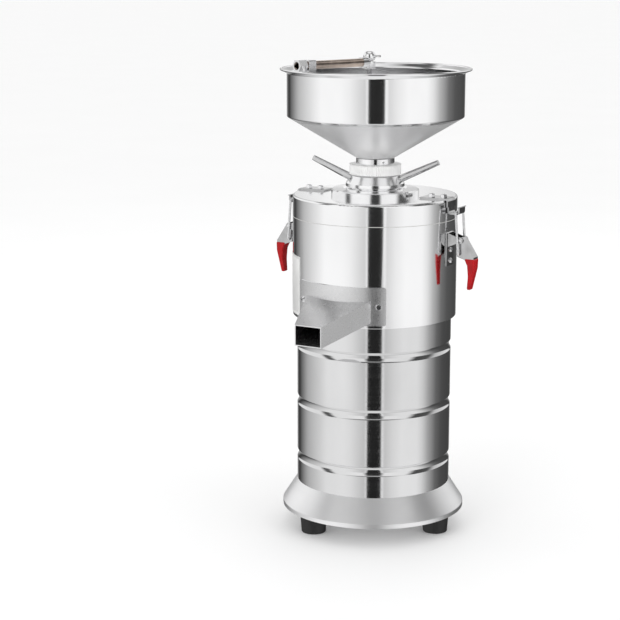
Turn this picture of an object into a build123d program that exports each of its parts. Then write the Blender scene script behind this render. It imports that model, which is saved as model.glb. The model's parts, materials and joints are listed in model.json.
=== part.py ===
"""Upright stone mill for peanut butter, in millimetres.

A motor in a round housing turns the lower of two grinding stones. The upper stone hangs from a
feed sleeve that a nut with two handles raises and lowers, and the hopper stands on that sleeve.
The paste leaves through a spout in front. Two toggle latches hold the lid down.

The origin is on the machine's axis at floor level. +Z is up and the spout points to -Y.
"""
import os
from math import cos, radians, sin, sqrt

from build123d import *

os.makedirs("parts", exist_ok=True)

# Fits and clearances
run_fit = 0.05  # radial clearance of what turns or slides in its bore
seat_fit = 0.02  # radial clearance of what is pressed, screwed or welded in place
lap_gap = 0.15  # clearance between sheets that lap each other
pass_gap = 0.4  # clearance between faces that move past each other
thrust_gap = 0.2  # axial clearance under a turning shoulder

# Sheet metal
sheet = 1.2
chamber_sheet = 1.5

# Rubber feet and base
foot_count = 3
foot_height = 26.6
foot_inset = 26.0  # of a foot's middle from the skirt's lip
foot_top_r = 17.0
foot_bottom_r = 15.0
foot_screw_r = 2.5
foot_screw_grip = 14.0
screw_head_r = 5.0
screw_head_height = 3.0
skirt_flare = 18.0  # of the skirt's lip past the motor housing
skirt_lip_height = 5.1
skirt_cone_height = 28.0
skirt_flange_width = 8.0
skirt_collar_height = 12.0
base_plate_thickness = 2.0
vent_count = 12
vent_inner_r = 24.0
vent_length = 34.0
vent_width = 5.0

# Motor housing
motor_inset = 5.5  # of the motor housing's wall from the chamber's
motor_housing_height = 210.0
groove_count = 3
groove_first = 32.7
groove_pitch = 70.5
groove_width = 12.0
groove_depth = 2.0

# Grinding chamber, lid and lid boss
chamber_r = 100.5
chamber_height = 122.0
chamber_flange_width = 15.0
floor_thickness = 6.0
seal_boss_r = 22.0
seal_boss_height = 15.0
seal_r = 16.0
seal_height = 7.0
gasket_thickness = 0.8
lid_height = 25.5
lid_edge_r = 2.5
boss_r = 53.5
boss_height = 8.5
boss_spigot_r = 36.0
boss_spigot_depth = 13.0

# Motor
core_inset = 27.0  # of the core from the motor housing's wall
core_bore_r = 38.0
core_length = 85.0
core_slots = 24
slot_width = 4.0
slot_depth = 18.0
core_drop = 46.0  # from the chamber floor down to the core's top face
air_gap = 0.5
winding_outer_inset = 7.0
winding_height = 20.0
winding_inner_inset = 5.0
shield_wall = 8.0
shield_lap = 8.0
shield_plate = 8.0
shield_ledge = 4.0
tie_rod_count = 4
tie_rod_r = 2.0
bearing_r = 23.5
bearing_width = 14.0
bearing_bore_r = 10.0
shaft_middle_r = 12.0
shaft_seal_r = 9.0
shaft_top_r = 8.0
fan_inset = 10.0  # of the fan's tips from the core's rim
fan_height = 14.0
fan_blades = 7
fan_blade = 2.0
fan_hub_r = 14.0
fan_gap = 6.0
capacitor_r = 14.0
capacitor_length = 70.0
capacitor_offset = 45.0

# Grinding stones and what carries them
stone_r = 50.0
stone_thickness = 18.0
stone_gap = 0.6
stone_furrows = 12
furrow_width = 3.0
furrow_depth = 1.5
lower_stone_bore_r = 20.0
holder_r = 48.0
holder_thickness = 9.0
holder_hub_height = 4.0
holder_spigot_height = 5.0
shaft_nut_width = 24.0
shaft_nut_height = 8.0
sleeve_r = 23.0
sleeve_bore_r = 20.5
sleeve_flange_thickness = 6.0

# Adjusting nut, handles and collar ring
nut_thread_r = 30.0
nut_thread_length = 15.0
nut_lift = 1.0
hub_foot_r = 36.0
hub_top_r = 29.0
hub_height = 15.5
hub_foot_height = 4.5
retaining_ring_r = 27.0
retaining_ring_thickness = 2.0
handle_root_r = 4.5
handle_tip_r = 3.3
handle_length = 53.0
handle_depth = 5.0
handle_tilt = 24.6
handle_height = 10.0  # of its axis above the hub's foot, where it enters the hub
handle_bearing = 10.0
collar_r = 31.5
collar_height = 12.0
collar_round = 2.5
collar_lip = 2.0

# Hopper
neck_r = 23.4
neck_height = 8.5
outlet_r = 20.0
outlet_depth = 20.0
hopper_r = 107.5
hopper_cone_height = 49.5
hopper_wall_height = 52.0
lip_reach = 7.5
lip_rise = 4.3
lip_bead_r = 1.4
neck_screw_bearing = 325.0
neck_screw_r = 2.0
neck_screw_length = 6.0
neck_screw_above = 3.0  # of its axis above the neck ring's foot

# Water pipe and tap on the hopper's rim
pipe_bearing = 250.0
pipe_r = 5.0
pipe_bore_r = 4.0
pipe_above_rim = 8.5
tap_offset = 11.0
tap_body_r = 7.5
tap_body_height = 9.0
tap_below_pipe = 7.8
tap_boss_r = 6.4
tap_boss_reach = 14.0
tap_outlet_r = 2.9
tap_outlet_bore_r = 1.9
tap_outlet_length = 10.0
tap_stem_r = 2.0
tap_stem_length = 6.0
knob_r = 7.2
knob_height = 11.5
knob_lever_r = 1.3
knob_lever_length = 15.0
knob_lever_turn = 107.0
clamp_width = 14.0
clamp_inner_reach = 5.0
clamp_leg = 5.5
clamp_above_pipe = 6.2
clamp_outer_inset = 2.0
pipe_nut_width = 13.0
pipe_nut_length = 11.5
pipe_nut_lap = 4.0
inlet_bore_r = 4.6

# Catches on the lid, one above each latch
catch_length = 34.5  # of the strip on the lid, in from the chamber's wall
catch_width = 22.0
hook_width = 16.0
catch_thickness = 2.0
catch_bend = 3.0
catch_screw_pitch = 16.0
catch_screw_first = 10.0
catch_screw_r = 2.0
catch_screw_head_r = 4.4
catch_screw_head = 3.4
catch_screw_length = 9.0
hook_drop = 15.0  # from the lid's top to the trough's floor
hook_lip = 6.5

# Toggle latches: a fixed pivot on the base, a bail pivot on the lever
latch_sides = {"right": 0.0, "left": 180.0}
pivot_reach = 17.0  # of the lever's pivot from the chamber wall
pivot_drop = 22.0  # of the lever's pivot below the lid's seam
throw = 16.8
throw_angle = -93.0
pin_r = 1.5
bail_wire_r = 1.4
bail_reach = 12.2
bail_half_width = 10.5
bar_gap = 0.35  # between the bail's bar and the hook's floor
bail_bend = 3.0
latch_plate = 1.6
latch_plate_width = 20.0
latch_plate_above = 8.0
latch_plate_below = 32.0
ear_thickness = 1.2
ear_half_gap = 7.2
ear_r = 3.8
lever_half_width = 6.5
lever_sheet = 1.2
latch_screw_r = 3.2
latch_screw_height = 2.2
latch_screw_low = 26.0
latch_screw_high = 13.0
grip_length = 38.0
tongue_drop = 53.0  # of the lever's lower end below its pivot
tongue_foot_width = 5.0
grip_width = 15.0
grip_foot_width = 9.0
grip_round = 1.7

# Spout
spout_flange_half = 35.0
spout_flange_low = 4.0
spout_flange_height = 46.0
spout_root_width = 86.0
spout_tip_width = 35.0
spout_reach = 168.0
spout_tip_low = -11.0  # of the tip's floor from the chamber's foot
spout_tip_height = 25.0
spout_root_low = 8.0
spout_root_height = 26.5
spout_screw_bearing = 30.0
spout_screw_r = 4.0
spout_screw_head = 2.4
spout_screw_shank_r = 2.0

# Switch and cable gland at the rear
switch_height = 134.0  # of its centre above the motor housing's foot
bezel_width = 24.0
bezel_height = 34.0
bezel_thickness = 2.5
switch_body_width = 19.0
switch_body_height = 28.0
switch_body_depth = 20.0
switch_mouth_width = 15.0
switch_mouth_height = 24.0
switch_mouth_depth = 12.0
rocker_tilt = 12.0
rocker_pivot_depth = 4.0
rocker_pin_r = 1.2
rocker_pin_length = 1.5
gland_height = 61.0
gland_r = 8.0
gland_width = 19.0
gland_flange = 4.5
gland_inside = 10.0
gland_bore_r = 4.2
gland_nut_r = 9.5
gland_nut_length = 14.0
cable_bore_r = 3.6

# Radii that follow from the chamber's
motor_r = chamber_r - motor_inset
skirt_r = motor_r + skirt_flare
foot_circle_r = skirt_r - foot_inset
core_r = motor_r - core_inset
winding_outer_r = core_r - winding_outer_inset
winding_inner_r = core_bore_r + winding_inner_inset
winding_wall = winding_outer_r - winding_inner_r
fan_r = core_r - fan_inset
catch_start_r = chamber_r - catch_length

# Levels, from the floor up
plate_z = foot_height
lip_z = plate_z - sheet
lip_top_z = lip_z + skirt_lip_height
housing_z = lip_top_z + skirt_cone_height
chamber_z = housing_z + motor_housing_height
floor_z = chamber_z + chamber_sheet
floor_top_z = floor_z + floor_thickness
seam_z = chamber_z + chamber_height
lid_z = seam_z + lid_height
boss_z = lid_z + boss_height
hub_z = boss_z + nut_lift
hub_top_z = hub_z + hub_height - thrust_gap
collar_z = hub_z + hub_height
neck_z = collar_z + collar_height
cone_z = neck_z + neck_height
bowl_z = cone_z + hopper_cone_height
rim_z = bowl_z + hopper_wall_height
pipe_z = rim_z + lip_rise + pipe_above_rim

# Levels of the motor and the stones
core_top_z = floor_z - core_drop
core_bottom_z = core_top_z - core_length
upper_bearing_z = floor_z - 2 - bearing_width
bottom_shield_z = core_bottom_z - core_drop
lower_bearing_z = bottom_shield_z + 6
holder_z = floor_top_z + seal_boss_height + holder_hub_height + 4
lower_stone_z = holder_z + holder_thickness
upper_stone_z = lower_stone_z + stone_thickness + stone_gap
sleeve_flange_z = upper_stone_z + stone_thickness
fan_z = bottom_shield_z - fan_gap - fan_height


def radial_plane(bearing, across=0.0):
    """The upright plane through the axis at a bearing: x runs outwards and y runs up."""
    turn = radians(bearing)
    normal = Vector(sin(turn), -cos(turn), 0)
    return Plane(origin=normal * across, x_dir=(cos(turn), sin(turn), 0), z_dir=normal)


def outward_plane(bearing, reach, height):
    """The upright plane that faces outwards at a bearing: x runs sideways and y runs up."""
    turn = radians(bearing)
    outward = Vector(cos(turn), sin(turn), 0)
    return Plane(
        origin=outward * reach + Vector(0, 0, height),
        x_dir=(-sin(turn), cos(turn), 0),
        z_dir=outward,
    )


# Base: skirt, plate, feet and their screws
collar_outer_r = motor_r - sheet - lap_gap
with BuildPart() as base_skirt:
    with BuildSketch(Plane.XZ):
        with BuildLine():
            Polyline(
                (skirt_r - skirt_flange_width, lip_z),
                (skirt_r, lip_z),
                (skirt_r, lip_top_z),
                (motor_r, housing_z),
                (collar_outer_r, housing_z),
                (collar_outer_r, housing_z + skirt_collar_height),
                (collar_outer_r - sheet, housing_z + skirt_collar_height),
                (collar_outer_r - sheet, housing_z - sheet),
                (skirt_r - sheet, lip_top_z - sheet / 2),
                (skirt_r - sheet, plate_z),
                (skirt_r - skirt_flange_width, plate_z),
                close=True,
            )
        make_face()
    revolve(axis=Axis.Z)
    rings = base_skirt.edges().filter_by(GeomType.CIRCLE)
    lip_edges = rings.filter_by(lambda e: abs(e.radius - skirt_r) < 0.01)
    fillet(lip_edges.group_by(Axis.Z)[-1], 1.0)
base_skirt.part.label = "base_skirt"
export_step(base_skirt.part, "parts/base_skirt.step")

plate_r = skirt_r - sheet - lap_gap
saddle_width = 2 * capacitor_r
capacitor_z = plate_z + base_plate_thickness + capacitor_r + 1.5
with BuildPart() as base_plate:
    with BuildSketch(Plane.XY.offset(plate_z)):
        Circle(plate_r)
        with PolarLocations(foot_circle_r, foot_count):
            Circle(foot_screw_r + lap_gap, mode=Mode.SUBTRACT)
        with PolarLocations(vent_inner_r + vent_length / 2, vent_count, start_angle=15):
            SlotOverall(vent_length, vent_width, mode=Mode.SUBTRACT)
    extrude(amount=base_plate_thickness)
    with BuildSketch(Plane.XY.offset(plate_z + base_plate_thickness)):
        with Locations((0, capacitor_offset)):
            Rectangle(saddle_width, saddle_width)
    extrude(amount=capacitor_z - plate_z - base_plate_thickness - capacitor_r / 2)
    with BuildSketch(Plane.YZ):
        with Locations((capacitor_offset, capacitor_z)):
            Circle(capacitor_r + seat_fit)
    extrude(amount=capacitor_length, both=True, mode=Mode.SUBTRACT)
base_plate.part.label = "base_plate"
export_step(base_plate.part, "parts/base_plate.step")

with BuildPart() as capacitor:
    with BuildSketch(Plane.YZ):
        with Locations((capacitor_offset, capacitor_z)):
            Circle(capacitor_r)
    extrude(amount=capacitor_length / 2, both=True)
    fillet(capacitor.edges().filter_by(GeomType.CIRCLE), 1.5)
capacitor.part.label = "capacitor"
export_step(capacitor.part, "parts/capacitor.step")

with BuildPart() as rubber_feet:
    for number in range(foot_count):
        turn = radians(number * 360 / foot_count)
        spot = (foot_circle_r * cos(turn), foot_circle_r * sin(turn))
        with BuildSketch(Plane.XY):
            with Locations(spot):
                Circle(foot_bottom_r)
        with BuildSketch(Plane.XY.offset(plate_z)):
            with Locations(spot):
                Circle(foot_top_r)
        loft()
    fillet(rubber_feet.edges().group_by(Axis.Z)[0], 1.5)
    with BuildSketch(Plane.XY.offset(plate_z)):
        with PolarLocations(foot_circle_r, foot_count):
            Circle(foot_screw_r + seat_fit)
    extrude(amount=-foot_screw_grip, mode=Mode.SUBTRACT)
rubber_feet.part.label = "rubber_feet"
export_step(rubber_feet.part, "parts/rubber_feet.step")

with BuildPart() as foot_screws:
    with BuildSketch(Plane.XY.offset(plate_z + base_plate_thickness)):
        with PolarLocations(foot_circle_r, foot_count):
            Circle(screw_head_r)
    extrude(amount=screw_head_height)
    fillet(foot_screws.edges().group_by(Axis.Z)[-1], 1.0)
    with BuildSketch(Plane.XY.offset(plate_z + base_plate_thickness)):
        with PolarLocations(foot_circle_r, foot_count):
            Circle(foot_screw_r)
    extrude(amount=-base_plate_thickness - foot_screw_grip + lap_gap)
foot_screws.part.label = "foot_screws"
export_step(foot_screws.part, "parts/foot_screws.step")

# Motor housing: a rolled shell with grooves pressed in from outside
switch_z = housing_z + switch_height
gland_z = housing_z + gland_height


def grooved_side(radius):
    """Corners of an upright line at a radius, broken by the grooves, from the foot up."""
    side = [(radius, housing_z)]
    for number in range(groove_count):
        middle = housing_z + groove_first + number * groove_pitch
        side.append((radius, middle - groove_width / 2))
        side.append((radius - groove_depth, middle))
        side.append((radius, middle + groove_width / 2))
    side.append((radius, chamber_z))
    return side


with BuildPart() as motor_housing:
    with BuildSketch(Plane.XZ):
        with BuildLine():
            for radius in (motor_r, motor_r - sheet):
                side = grooved_side(radius)
                Line(side[0], side[1])
                for start in range(1, len(side) - 1, 3):
                    ThreePointArc(side[start], side[start + 1], side[start + 2])
                    Line(side[start + 2], side[start + 3])
            Line((motor_r, housing_z), (motor_r - sheet, housing_z))
            Line((motor_r, chamber_z), (motor_r - sheet, chamber_z))
        make_face()
    revolve(axis=Axis.Z)
    with BuildSketch(outward_plane(90, motor_r - groove_width, switch_z)):
        Rectangle(switch_body_width + 2 * lap_gap, switch_body_height + 2 * lap_gap)
    extrude(amount=2 * groove_width, mode=Mode.SUBTRACT)
    with BuildSketch(outward_plane(90, motor_r - groove_width, gland_z)):
        Circle(gland_r + lap_gap)
    extrude(amount=2 * groove_width, mode=Mode.SUBTRACT)
motor_housing.part.label = "motor_housing"
export_step(motor_housing.part, "parts/motor_housing.step")

# Motor: shields, core, winding, bearings and tie rods
shield_r = core_r + shield_wall
shield_bore_r = core_r + lap_gap
ledge_r = core_r - shield_ledge
pocket_r = bearing_r + seat_fit
hub_wall = 6.0
shaft_way_r = shaft_middle_r + 2
tie_circle_r = core_r + shield_wall / 2 + lap_gap
with BuildPart() as motor_top_shield:
    with BuildSketch(Plane.XZ):
        with BuildLine():
            Polyline(
                (shaft_way_r, floor_z),
                (shield_r, floor_z),
                (shield_r, core_top_z - shield_lap),
                (shield_bore_r, core_top_z - shield_lap),
                (shield_bore_r, core_top_z),
                (ledge_r, core_top_z),
                (ledge_r, floor_z - shield_plate),
                (pocket_r + hub_wall, floor_z - shield_plate),
                (pocket_r + hub_wall, upper_bearing_z),
                (pocket_r, upper_bearing_z),
                (pocket_r, upper_bearing_z + bearing_width),
                (shaft_way_r, upper_bearing_z + bearing_width),
                close=True,
            )
        make_face()
    revolve(axis=Axis.Z)
    with BuildSketch(Plane.XY.offset(core_top_z - shield_lap)):
        with PolarLocations(tie_circle_r, tie_rod_count, start_angle=45):
            Circle(tie_rod_r + seat_fit)
    extrude(amount=core_drop - shield_plate / 2 + shield_lap, mode=Mode.SUBTRACT)
motor_top_shield.part.label = "motor_top_shield"
export_step(motor_top_shield.part, "parts/motor_top_shield.step")

with BuildPart() as motor_bottom_shield:
    with BuildSketch(Plane.XZ):
        with BuildLine():
            Polyline(
                (shaft_way_r, bottom_shield_z),
                (shield_r, bottom_shield_z),
                (shield_r, core_bottom_z + shield_lap),
                (shield_bore_r, core_bottom_z + shield_lap),
                (shield_bore_r, core_bottom_z),
                (ledge_r, core_bottom_z),
                (ledge_r, bottom_shield_z + shield_plate),
                (pocket_r + hub_wall, bottom_shield_z + shield_plate),
                (pocket_r + hub_wall, lower_bearing_z + bearing_width),
                (pocket_r, lower_bearing_z + bearing_width),
                (pocket_r, lower_bearing_z),
                (shaft_way_r, lower_bearing_z),
                close=True,
            )
        make_face()
    revolve(axis=Axis.Z)
    with BuildSketch(Plane.XY.offset(bottom_shield_z)):
        with PolarLocations(tie_circle_r, tie_rod_count, start_angle=45):
            Circle(tie_rod_r + lap_gap)
    extrude(amount=core_drop + shield_lap, mode=Mode.SUBTRACT)
motor_bottom_shield.part.label = "motor_bottom_shield"
export_step(motor_bottom_shield.part, "parts/motor_bottom_shield.step")

with BuildPart() as motor_tie_rods:
    with BuildSketch(Plane.XY.offset(bottom_shield_z)):
        with PolarLocations(tie_circle_r, tie_rod_count, start_angle=45):
            Circle(tie_rod_r)
    extrude(amount=2 * core_drop + core_length - shield_plate)
    with BuildSketch(Plane.XY.offset(bottom_shield_z)):
        with PolarLocations(tie_circle_r, tie_rod_count, start_angle=45):
            RegularPolygon(2 * tie_rod_r, 6)
    extrude(amount=-1.5 * tie_rod_r)
motor_tie_rods.part.label = "motor_tie_rods"
export_step(motor_tie_rods.part, "parts/motor_tie_rods.step")

with BuildPart() as stator_core:
    with BuildSketch(Plane.XY.offset(core_bottom_z)):
        Circle(core_r)
        Circle(core_bore_r, mode=Mode.SUBTRACT)
        with PolarLocations(core_bore_r + slot_depth / 2, core_slots):
            Rectangle(slot_depth + 1, slot_width, mode=Mode.SUBTRACT)
    extrude(amount=core_length)
stator_core.part.label = "stator_core"
export_step(stator_core.part, "parts/stator_core.step")

with BuildPart() as stator_winding:
    with BuildSketch(Plane.XZ):
        for coil_z in (core_bottom_z - winding_height / 2, core_top_z + winding_height / 2):
            with Locations((winding_outer_r - winding_wall / 2, coil_z)):
                RectangleRounded(winding_wall, winding_height, 0.28 * winding_wall)
    revolve(axis=Axis.Z)
stator_winding.part.label = "stator_winding"
export_step(stator_winding.part, "parts/stator_winding.step")

for label, bearing_z in (("upper_bearing", upper_bearing_z), ("lower_bearing", lower_bearing_z)):
    with BuildPart() as bearing:
        with BuildSketch(Plane.XY.offset(bearing_z)):
            Circle(bearing_r)
            Circle(bearing_bore_r + run_fit, mode=Mode.SUBTRACT)
        extrude(amount=bearing_width)
        for face_z, depth in ((bearing_z, 0.6), (bearing_z + bearing_width, -0.6)):
            with BuildSketch(Plane.XY.offset(face_z)):
                Circle(bearing_r - 3.5)
                Circle(bearing_bore_r + 3.5, mode=Mode.SUBTRACT)
            extrude(amount=depth, mode=Mode.SUBTRACT)
    bearing.part.label = label
    export_step(bearing.part, f"parts/{label}.step")

# Rotor: shaft, core, fan, stone holder, lower stone and nut
shaft_foot_z = fan_z - 4
fan_seat_r = shaft_top_r
shaft_end_z = lower_stone_z + holder_spigot_height + shaft_nut_height + 3
with BuildPart() as motor_shaft:
    with BuildSketch(Plane.XZ):
        with BuildLine():
            Polyline(
                (0, shaft_foot_z),
                (fan_seat_r, shaft_foot_z),
                (fan_seat_r, fan_z + fan_height),
                (bearing_bore_r, fan_z + fan_height),
                (bearing_bore_r, lower_bearing_z + bearing_width + pass_gap),
                (shaft_middle_r, lower_bearing_z + bearing_width + pass_gap),
                (shaft_middle_r, upper_bearing_z - pass_gap),
                (bearing_bore_r, upper_bearing_z - pass_gap),
                (bearing_bore_r, floor_z),
                (shaft_seal_r, floor_z),
                (shaft_seal_r, holder_z - holder_hub_height),
                (shaft_top_r, holder_z - holder_hub_height),
                (shaft_top_r, shaft_end_z),
                (0, shaft_end_z),
                close=True,
            )
        make_face()
    revolve(axis=Axis.Z)
    chamfer(motor_shaft.edges().group_by(Axis.Z)[0], 0.8)
    chamfer(motor_shaft.edges().group_by(Axis.Z)[-1], 0.8)
motor_shaft.part.label = "motor_shaft"
export_step(motor_shaft.part, "parts/motor_shaft.step")

with BuildPart() as rotor_core:
    with BuildSketch(Plane.XY.offset(core_bottom_z)):
        Circle(core_bore_r - air_gap)
        Circle(shaft_middle_r + seat_fit, mode=Mode.SUBTRACT)
    extrude(amount=core_length)
    for face_z, ring in ((core_bottom_z, -5.0), (core_top_z, 5.0)):
        with BuildSketch(Plane.XY.offset(face_z)):
            Circle(core_bore_r - 2)
            Circle(core_bore_r / 2, mode=Mode.SUBTRACT)
        extrude(amount=ring)
rotor_core.part.label = "rotor_core"
export_step(rotor_core.part, "parts/rotor_core.step")

with BuildPart() as cooling_fan:
    with BuildSketch(Plane.XY.offset(fan_z)):
        Circle(fan_hub_r)
    extrude(amount=fan_height)
    with BuildSketch(Plane.XY.offset(fan_z + fan_height - fan_blade)):
        Circle(fan_r)
    extrude(amount=fan_blade)
    with BuildSketch(Plane.XY.offset(fan_z)):
        with PolarLocations((fan_r + fan_hub_r) / 2 - 1, fan_blades):
            Rectangle(fan_r - fan_hub_r, fan_blade)
    extrude(amount=fan_height)
    with BuildSketch(Plane.XY.offset(fan_z)):
        Circle(fan_seat_r + seat_fit)
    extrude(amount=fan_height, mode=Mode.SUBTRACT)
cooling_fan.part.label = "cooling_fan"
export_step(cooling_fan.part, "parts/cooling_fan.step")

with BuildPart() as disc_holder:
    with BuildSketch(Plane.XZ):
        with BuildLine():
            Polyline(
                (shaft_top_r + seat_fit, holder_z - holder_hub_height),
                (2 * shaft_top_r, holder_z - holder_hub_height),
                (2 * shaft_top_r, holder_z),
                (holder_r, holder_z),
                (holder_r, lower_stone_z),
                (lower_stone_bore_r - lap_gap, lower_stone_z),
                (lower_stone_bore_r - lap_gap, lower_stone_z + holder_spigot_height),
                (shaft_top_r + seat_fit, lower_stone_z + holder_spigot_height),
                close=True,
            )
        make_face()
    revolve(axis=Axis.Z)
disc_holder.part.label = "disc_holder"
export_step(disc_holder.part, "parts/disc_holder.step")

with BuildPart() as lower_grinding_stone:
    with BuildSketch(Plane.XY.offset(lower_stone_z)):
        Circle(stone_r)
        Circle(lower_stone_bore_r, mode=Mode.SUBTRACT)
    extrude(amount=stone_thickness)
    with BuildSketch(Plane.XY.offset(lower_stone_z + stone_thickness)):
        with PolarLocations((stone_r + lower_stone_bore_r) / 2, stone_furrows):
            Rectangle(stone_r - lower_stone_bore_r + 10, furrow_width, rotation=20)
    extrude(amount=-furrow_depth, mode=Mode.SUBTRACT)
lower_grinding_stone.part.label = "lower_grinding_stone"
export_step(lower_grinding_stone.part, "parts/lower_grinding_stone.step")

with BuildPart() as shaft_nut:
    with BuildSketch(Plane.XY.offset(lower_stone_z + holder_spigot_height)):
        RegularPolygon(shaft_nut_width / 2, 6, major_radius=False)
        Circle(shaft_top_r + seat_fit, mode=Mode.SUBTRACT)
    extrude(amount=shaft_nut_height)
shaft_nut.part.label = "shaft_nut"
export_step(shaft_nut.part, "parts/shaft_nut.step")

# Chamber: floor with its seal, housing with the spout's window, gasket, lid and boss
with BuildPart() as chamber_floor:
    with BuildSketch(Plane.XZ):
        with BuildLine():
            Polyline(
                (shaft_seal_r + 1, floor_z),
                (chamber_r - chamber_sheet - lap_gap, floor_z),
                (chamber_r - chamber_sheet - lap_gap, floor_top_z),
                (seal_boss_r + 4, floor_top_z),
                (seal_boss_r, floor_top_z + 4),
                (seal_boss_r, floor_top_z + seal_boss_height),
                (seal_r + seat_fit, floor_top_z + seal_boss_height),
                (seal_r + seat_fit, floor_top_z + seal_boss_height - seal_height),
                (shaft_seal_r + 1, floor_top_z + seal_boss_height - seal_height),
                close=True,
            )
        make_face()
    revolve(axis=Axis.Z)
chamber_floor.part.label = "chamber_floor"
export_step(chamber_floor.part, "parts/chamber_floor.step")

with BuildPart() as shaft_seal:
    with BuildSketch(Plane.XY.offset(floor_top_z + seal_boss_height - seal_height)):
        Circle(seal_r)
        Circle(shaft_seal_r + run_fit, mode=Mode.SUBTRACT)
    extrude(amount=seal_height)
shaft_seal.part.label = "shaft_seal"
export_step(shaft_seal.part, "parts/shaft_seal.step")

# Spout: a box duct that narrows and drops to its mouth, on a curved flange
root_y = -sqrt(chamber_r**2 - (spout_root_width / 2) ** 2)
tip_y = -spout_reach
inside_y = root_y + 25.0  # where the duct's planes are carried on to, inside the chamber
duct_run = root_y - tip_y
duct_grow = (inside_y - tip_y) / duct_run
screw_z = chamber_z + spout_flange_low + spout_flange_height / 2
tip_low_z = chamber_z + spout_tip_low
root_low_z = chamber_z + spout_root_low


def duct_section(share, shrink):
    """Width, height and middle of the duct at a share of its run from the mouth, inset by shrink."""
    width = spout_tip_width + share * (spout_root_width - spout_tip_width) - 2 * shrink
    height = spout_tip_height + share * (spout_root_height - spout_tip_height) - 2 * shrink
    low = tip_low_z + share * (root_low_z - tip_low_z)
    return width, height, low + height / 2 + shrink


duct_bodies = {}
for label, shrink, overrun in (("outside", 0.0, 0.0), ("inside", sheet, 0.05)):
    with BuildPart() as duct:
        for share in (-overrun, duct_grow):
            width, height, middle_z = duct_section(share, shrink)
            section_origin = (0, tip_y + share * duct_run, middle_z)
            with BuildSketch(Plane(origin=section_origin, x_dir=(1, 0, 0), z_dir=(0, -1, 0))):
                Rectangle(width, height)
        loft(ruled=True)
    duct_bodies[label] = duct.part

with BuildPart() as spout:
    with BuildSketch(Plane.XY.offset(chamber_z + spout_flange_low)):
        Circle(chamber_r + sheet)
        Circle(chamber_r, mode=Mode.SUBTRACT)
        with BuildLine():
            flange_reach = 2 * chamber_r
            half = radians(spout_flange_half)
            Polyline(
                (0, 0),
                (-flange_reach * sin(half), -flange_reach * cos(half)),
                (flange_reach * sin(half), -flange_reach * cos(half)),
                close=True,
            )
        make_face(mode=Mode.INTERSECT)
    extrude(amount=spout_flange_height)
    fillet(spout.edges().filter_by(GeomType.LINE).filter_by(lambda e: abs(e.length - sheet) < 0.01), 3.0)
    add(duct_bodies["outside"])
    add(duct_bodies["inside"], mode=Mode.SUBTRACT)
    with BuildSketch(Plane.XY.offset(chamber_z + 2 * spout_tip_low)):
        Circle(chamber_r)
    extrude(amount=2 * spout_flange_height, mode=Mode.SUBTRACT)
    for side in (-1, 1):
        with BuildSketch(outward_plane(270 + side * spout_screw_bearing, chamber_r - 5, screw_z)):
            Circle(spout_screw_shank_r + lap_gap)
        extrude(amount=10, mode=Mode.SUBTRACT)
spout.part.label = "spout"
export_step(spout.part, "parts/spout.step")

with BuildPart() as spout_screws:
    for side in (-1, 1):
        bearing_angle = 270 + side * spout_screw_bearing
        with BuildSketch(outward_plane(bearing_angle, chamber_r + sheet, screw_z)):
            Circle(spout_screw_r)
        extrude(amount=spout_screw_head, taper=25)
        with BuildSketch(outward_plane(bearing_angle, chamber_r + sheet, screw_z)):
            Circle(spout_screw_shank_r)
        extrude(amount=-sheet - chamber_sheet - 4)
spout_screws.part.label = "spout_screws"
export_step(spout_screws.part, "parts/spout_screws.step")

with BuildPart() as chamber_housing:
    with BuildSketch(Plane.XZ):
        with BuildLine():
            Polyline(
                (chamber_r - chamber_flange_width, chamber_z),
                (chamber_r, chamber_z),
                (chamber_r, seam_z - gasket_thickness),
                (chamber_r - chamber_sheet, seam_z - gasket_thickness),
                (chamber_r - chamber_sheet, floor_z),
                (chamber_r - chamber_flange_width, floor_z),
                close=True,
            )
        make_face()
    revolve(axis=Axis.Z)
    rings = chamber_housing.edges().filter_by(GeomType.CIRCLE)
    outer_edges = rings.filter_by(lambda e: abs(e.radius - chamber_r) < 0.01)
    fillet(outer_edges.group_by(Axis.Z)[0], 1.0)
    add(duct_bodies["inside"], mode=Mode.SUBTRACT)
    for side in (-1, 1):
        with BuildSketch(outward_plane(270 + side * spout_screw_bearing, chamber_r - 5, screw_z)):
            Circle(spout_screw_shank_r + lap_gap)
        extrude(amount=10, mode=Mode.SUBTRACT)
    for angle in latch_sides.values():
        for drop in (latch_screw_high, latch_screw_low):
            with BuildSketch(outward_plane(angle, chamber_r - 5, seam_z - pivot_drop - drop)):
                Circle(latch_screw_r / 2 + lap_gap)
            extrude(amount=10, mode=Mode.SUBTRACT)
chamber_housing.part.label = "chamber_housing"
export_step(chamber_housing.part, "parts/chamber_housing.step")

with BuildPart() as lid_gasket:
    with BuildSketch(Plane.XY.offset(seam_z - gasket_thickness)):
        Circle(chamber_r - 0.3)
        Circle(chamber_r - chamber_sheet, mode=Mode.SUBTRACT)
    extrude(amount=gasket_thickness)
lid_gasket.part.label = "lid_gasket"
export_step(lid_gasket.part, "parts/lid_gasket.step")

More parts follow.
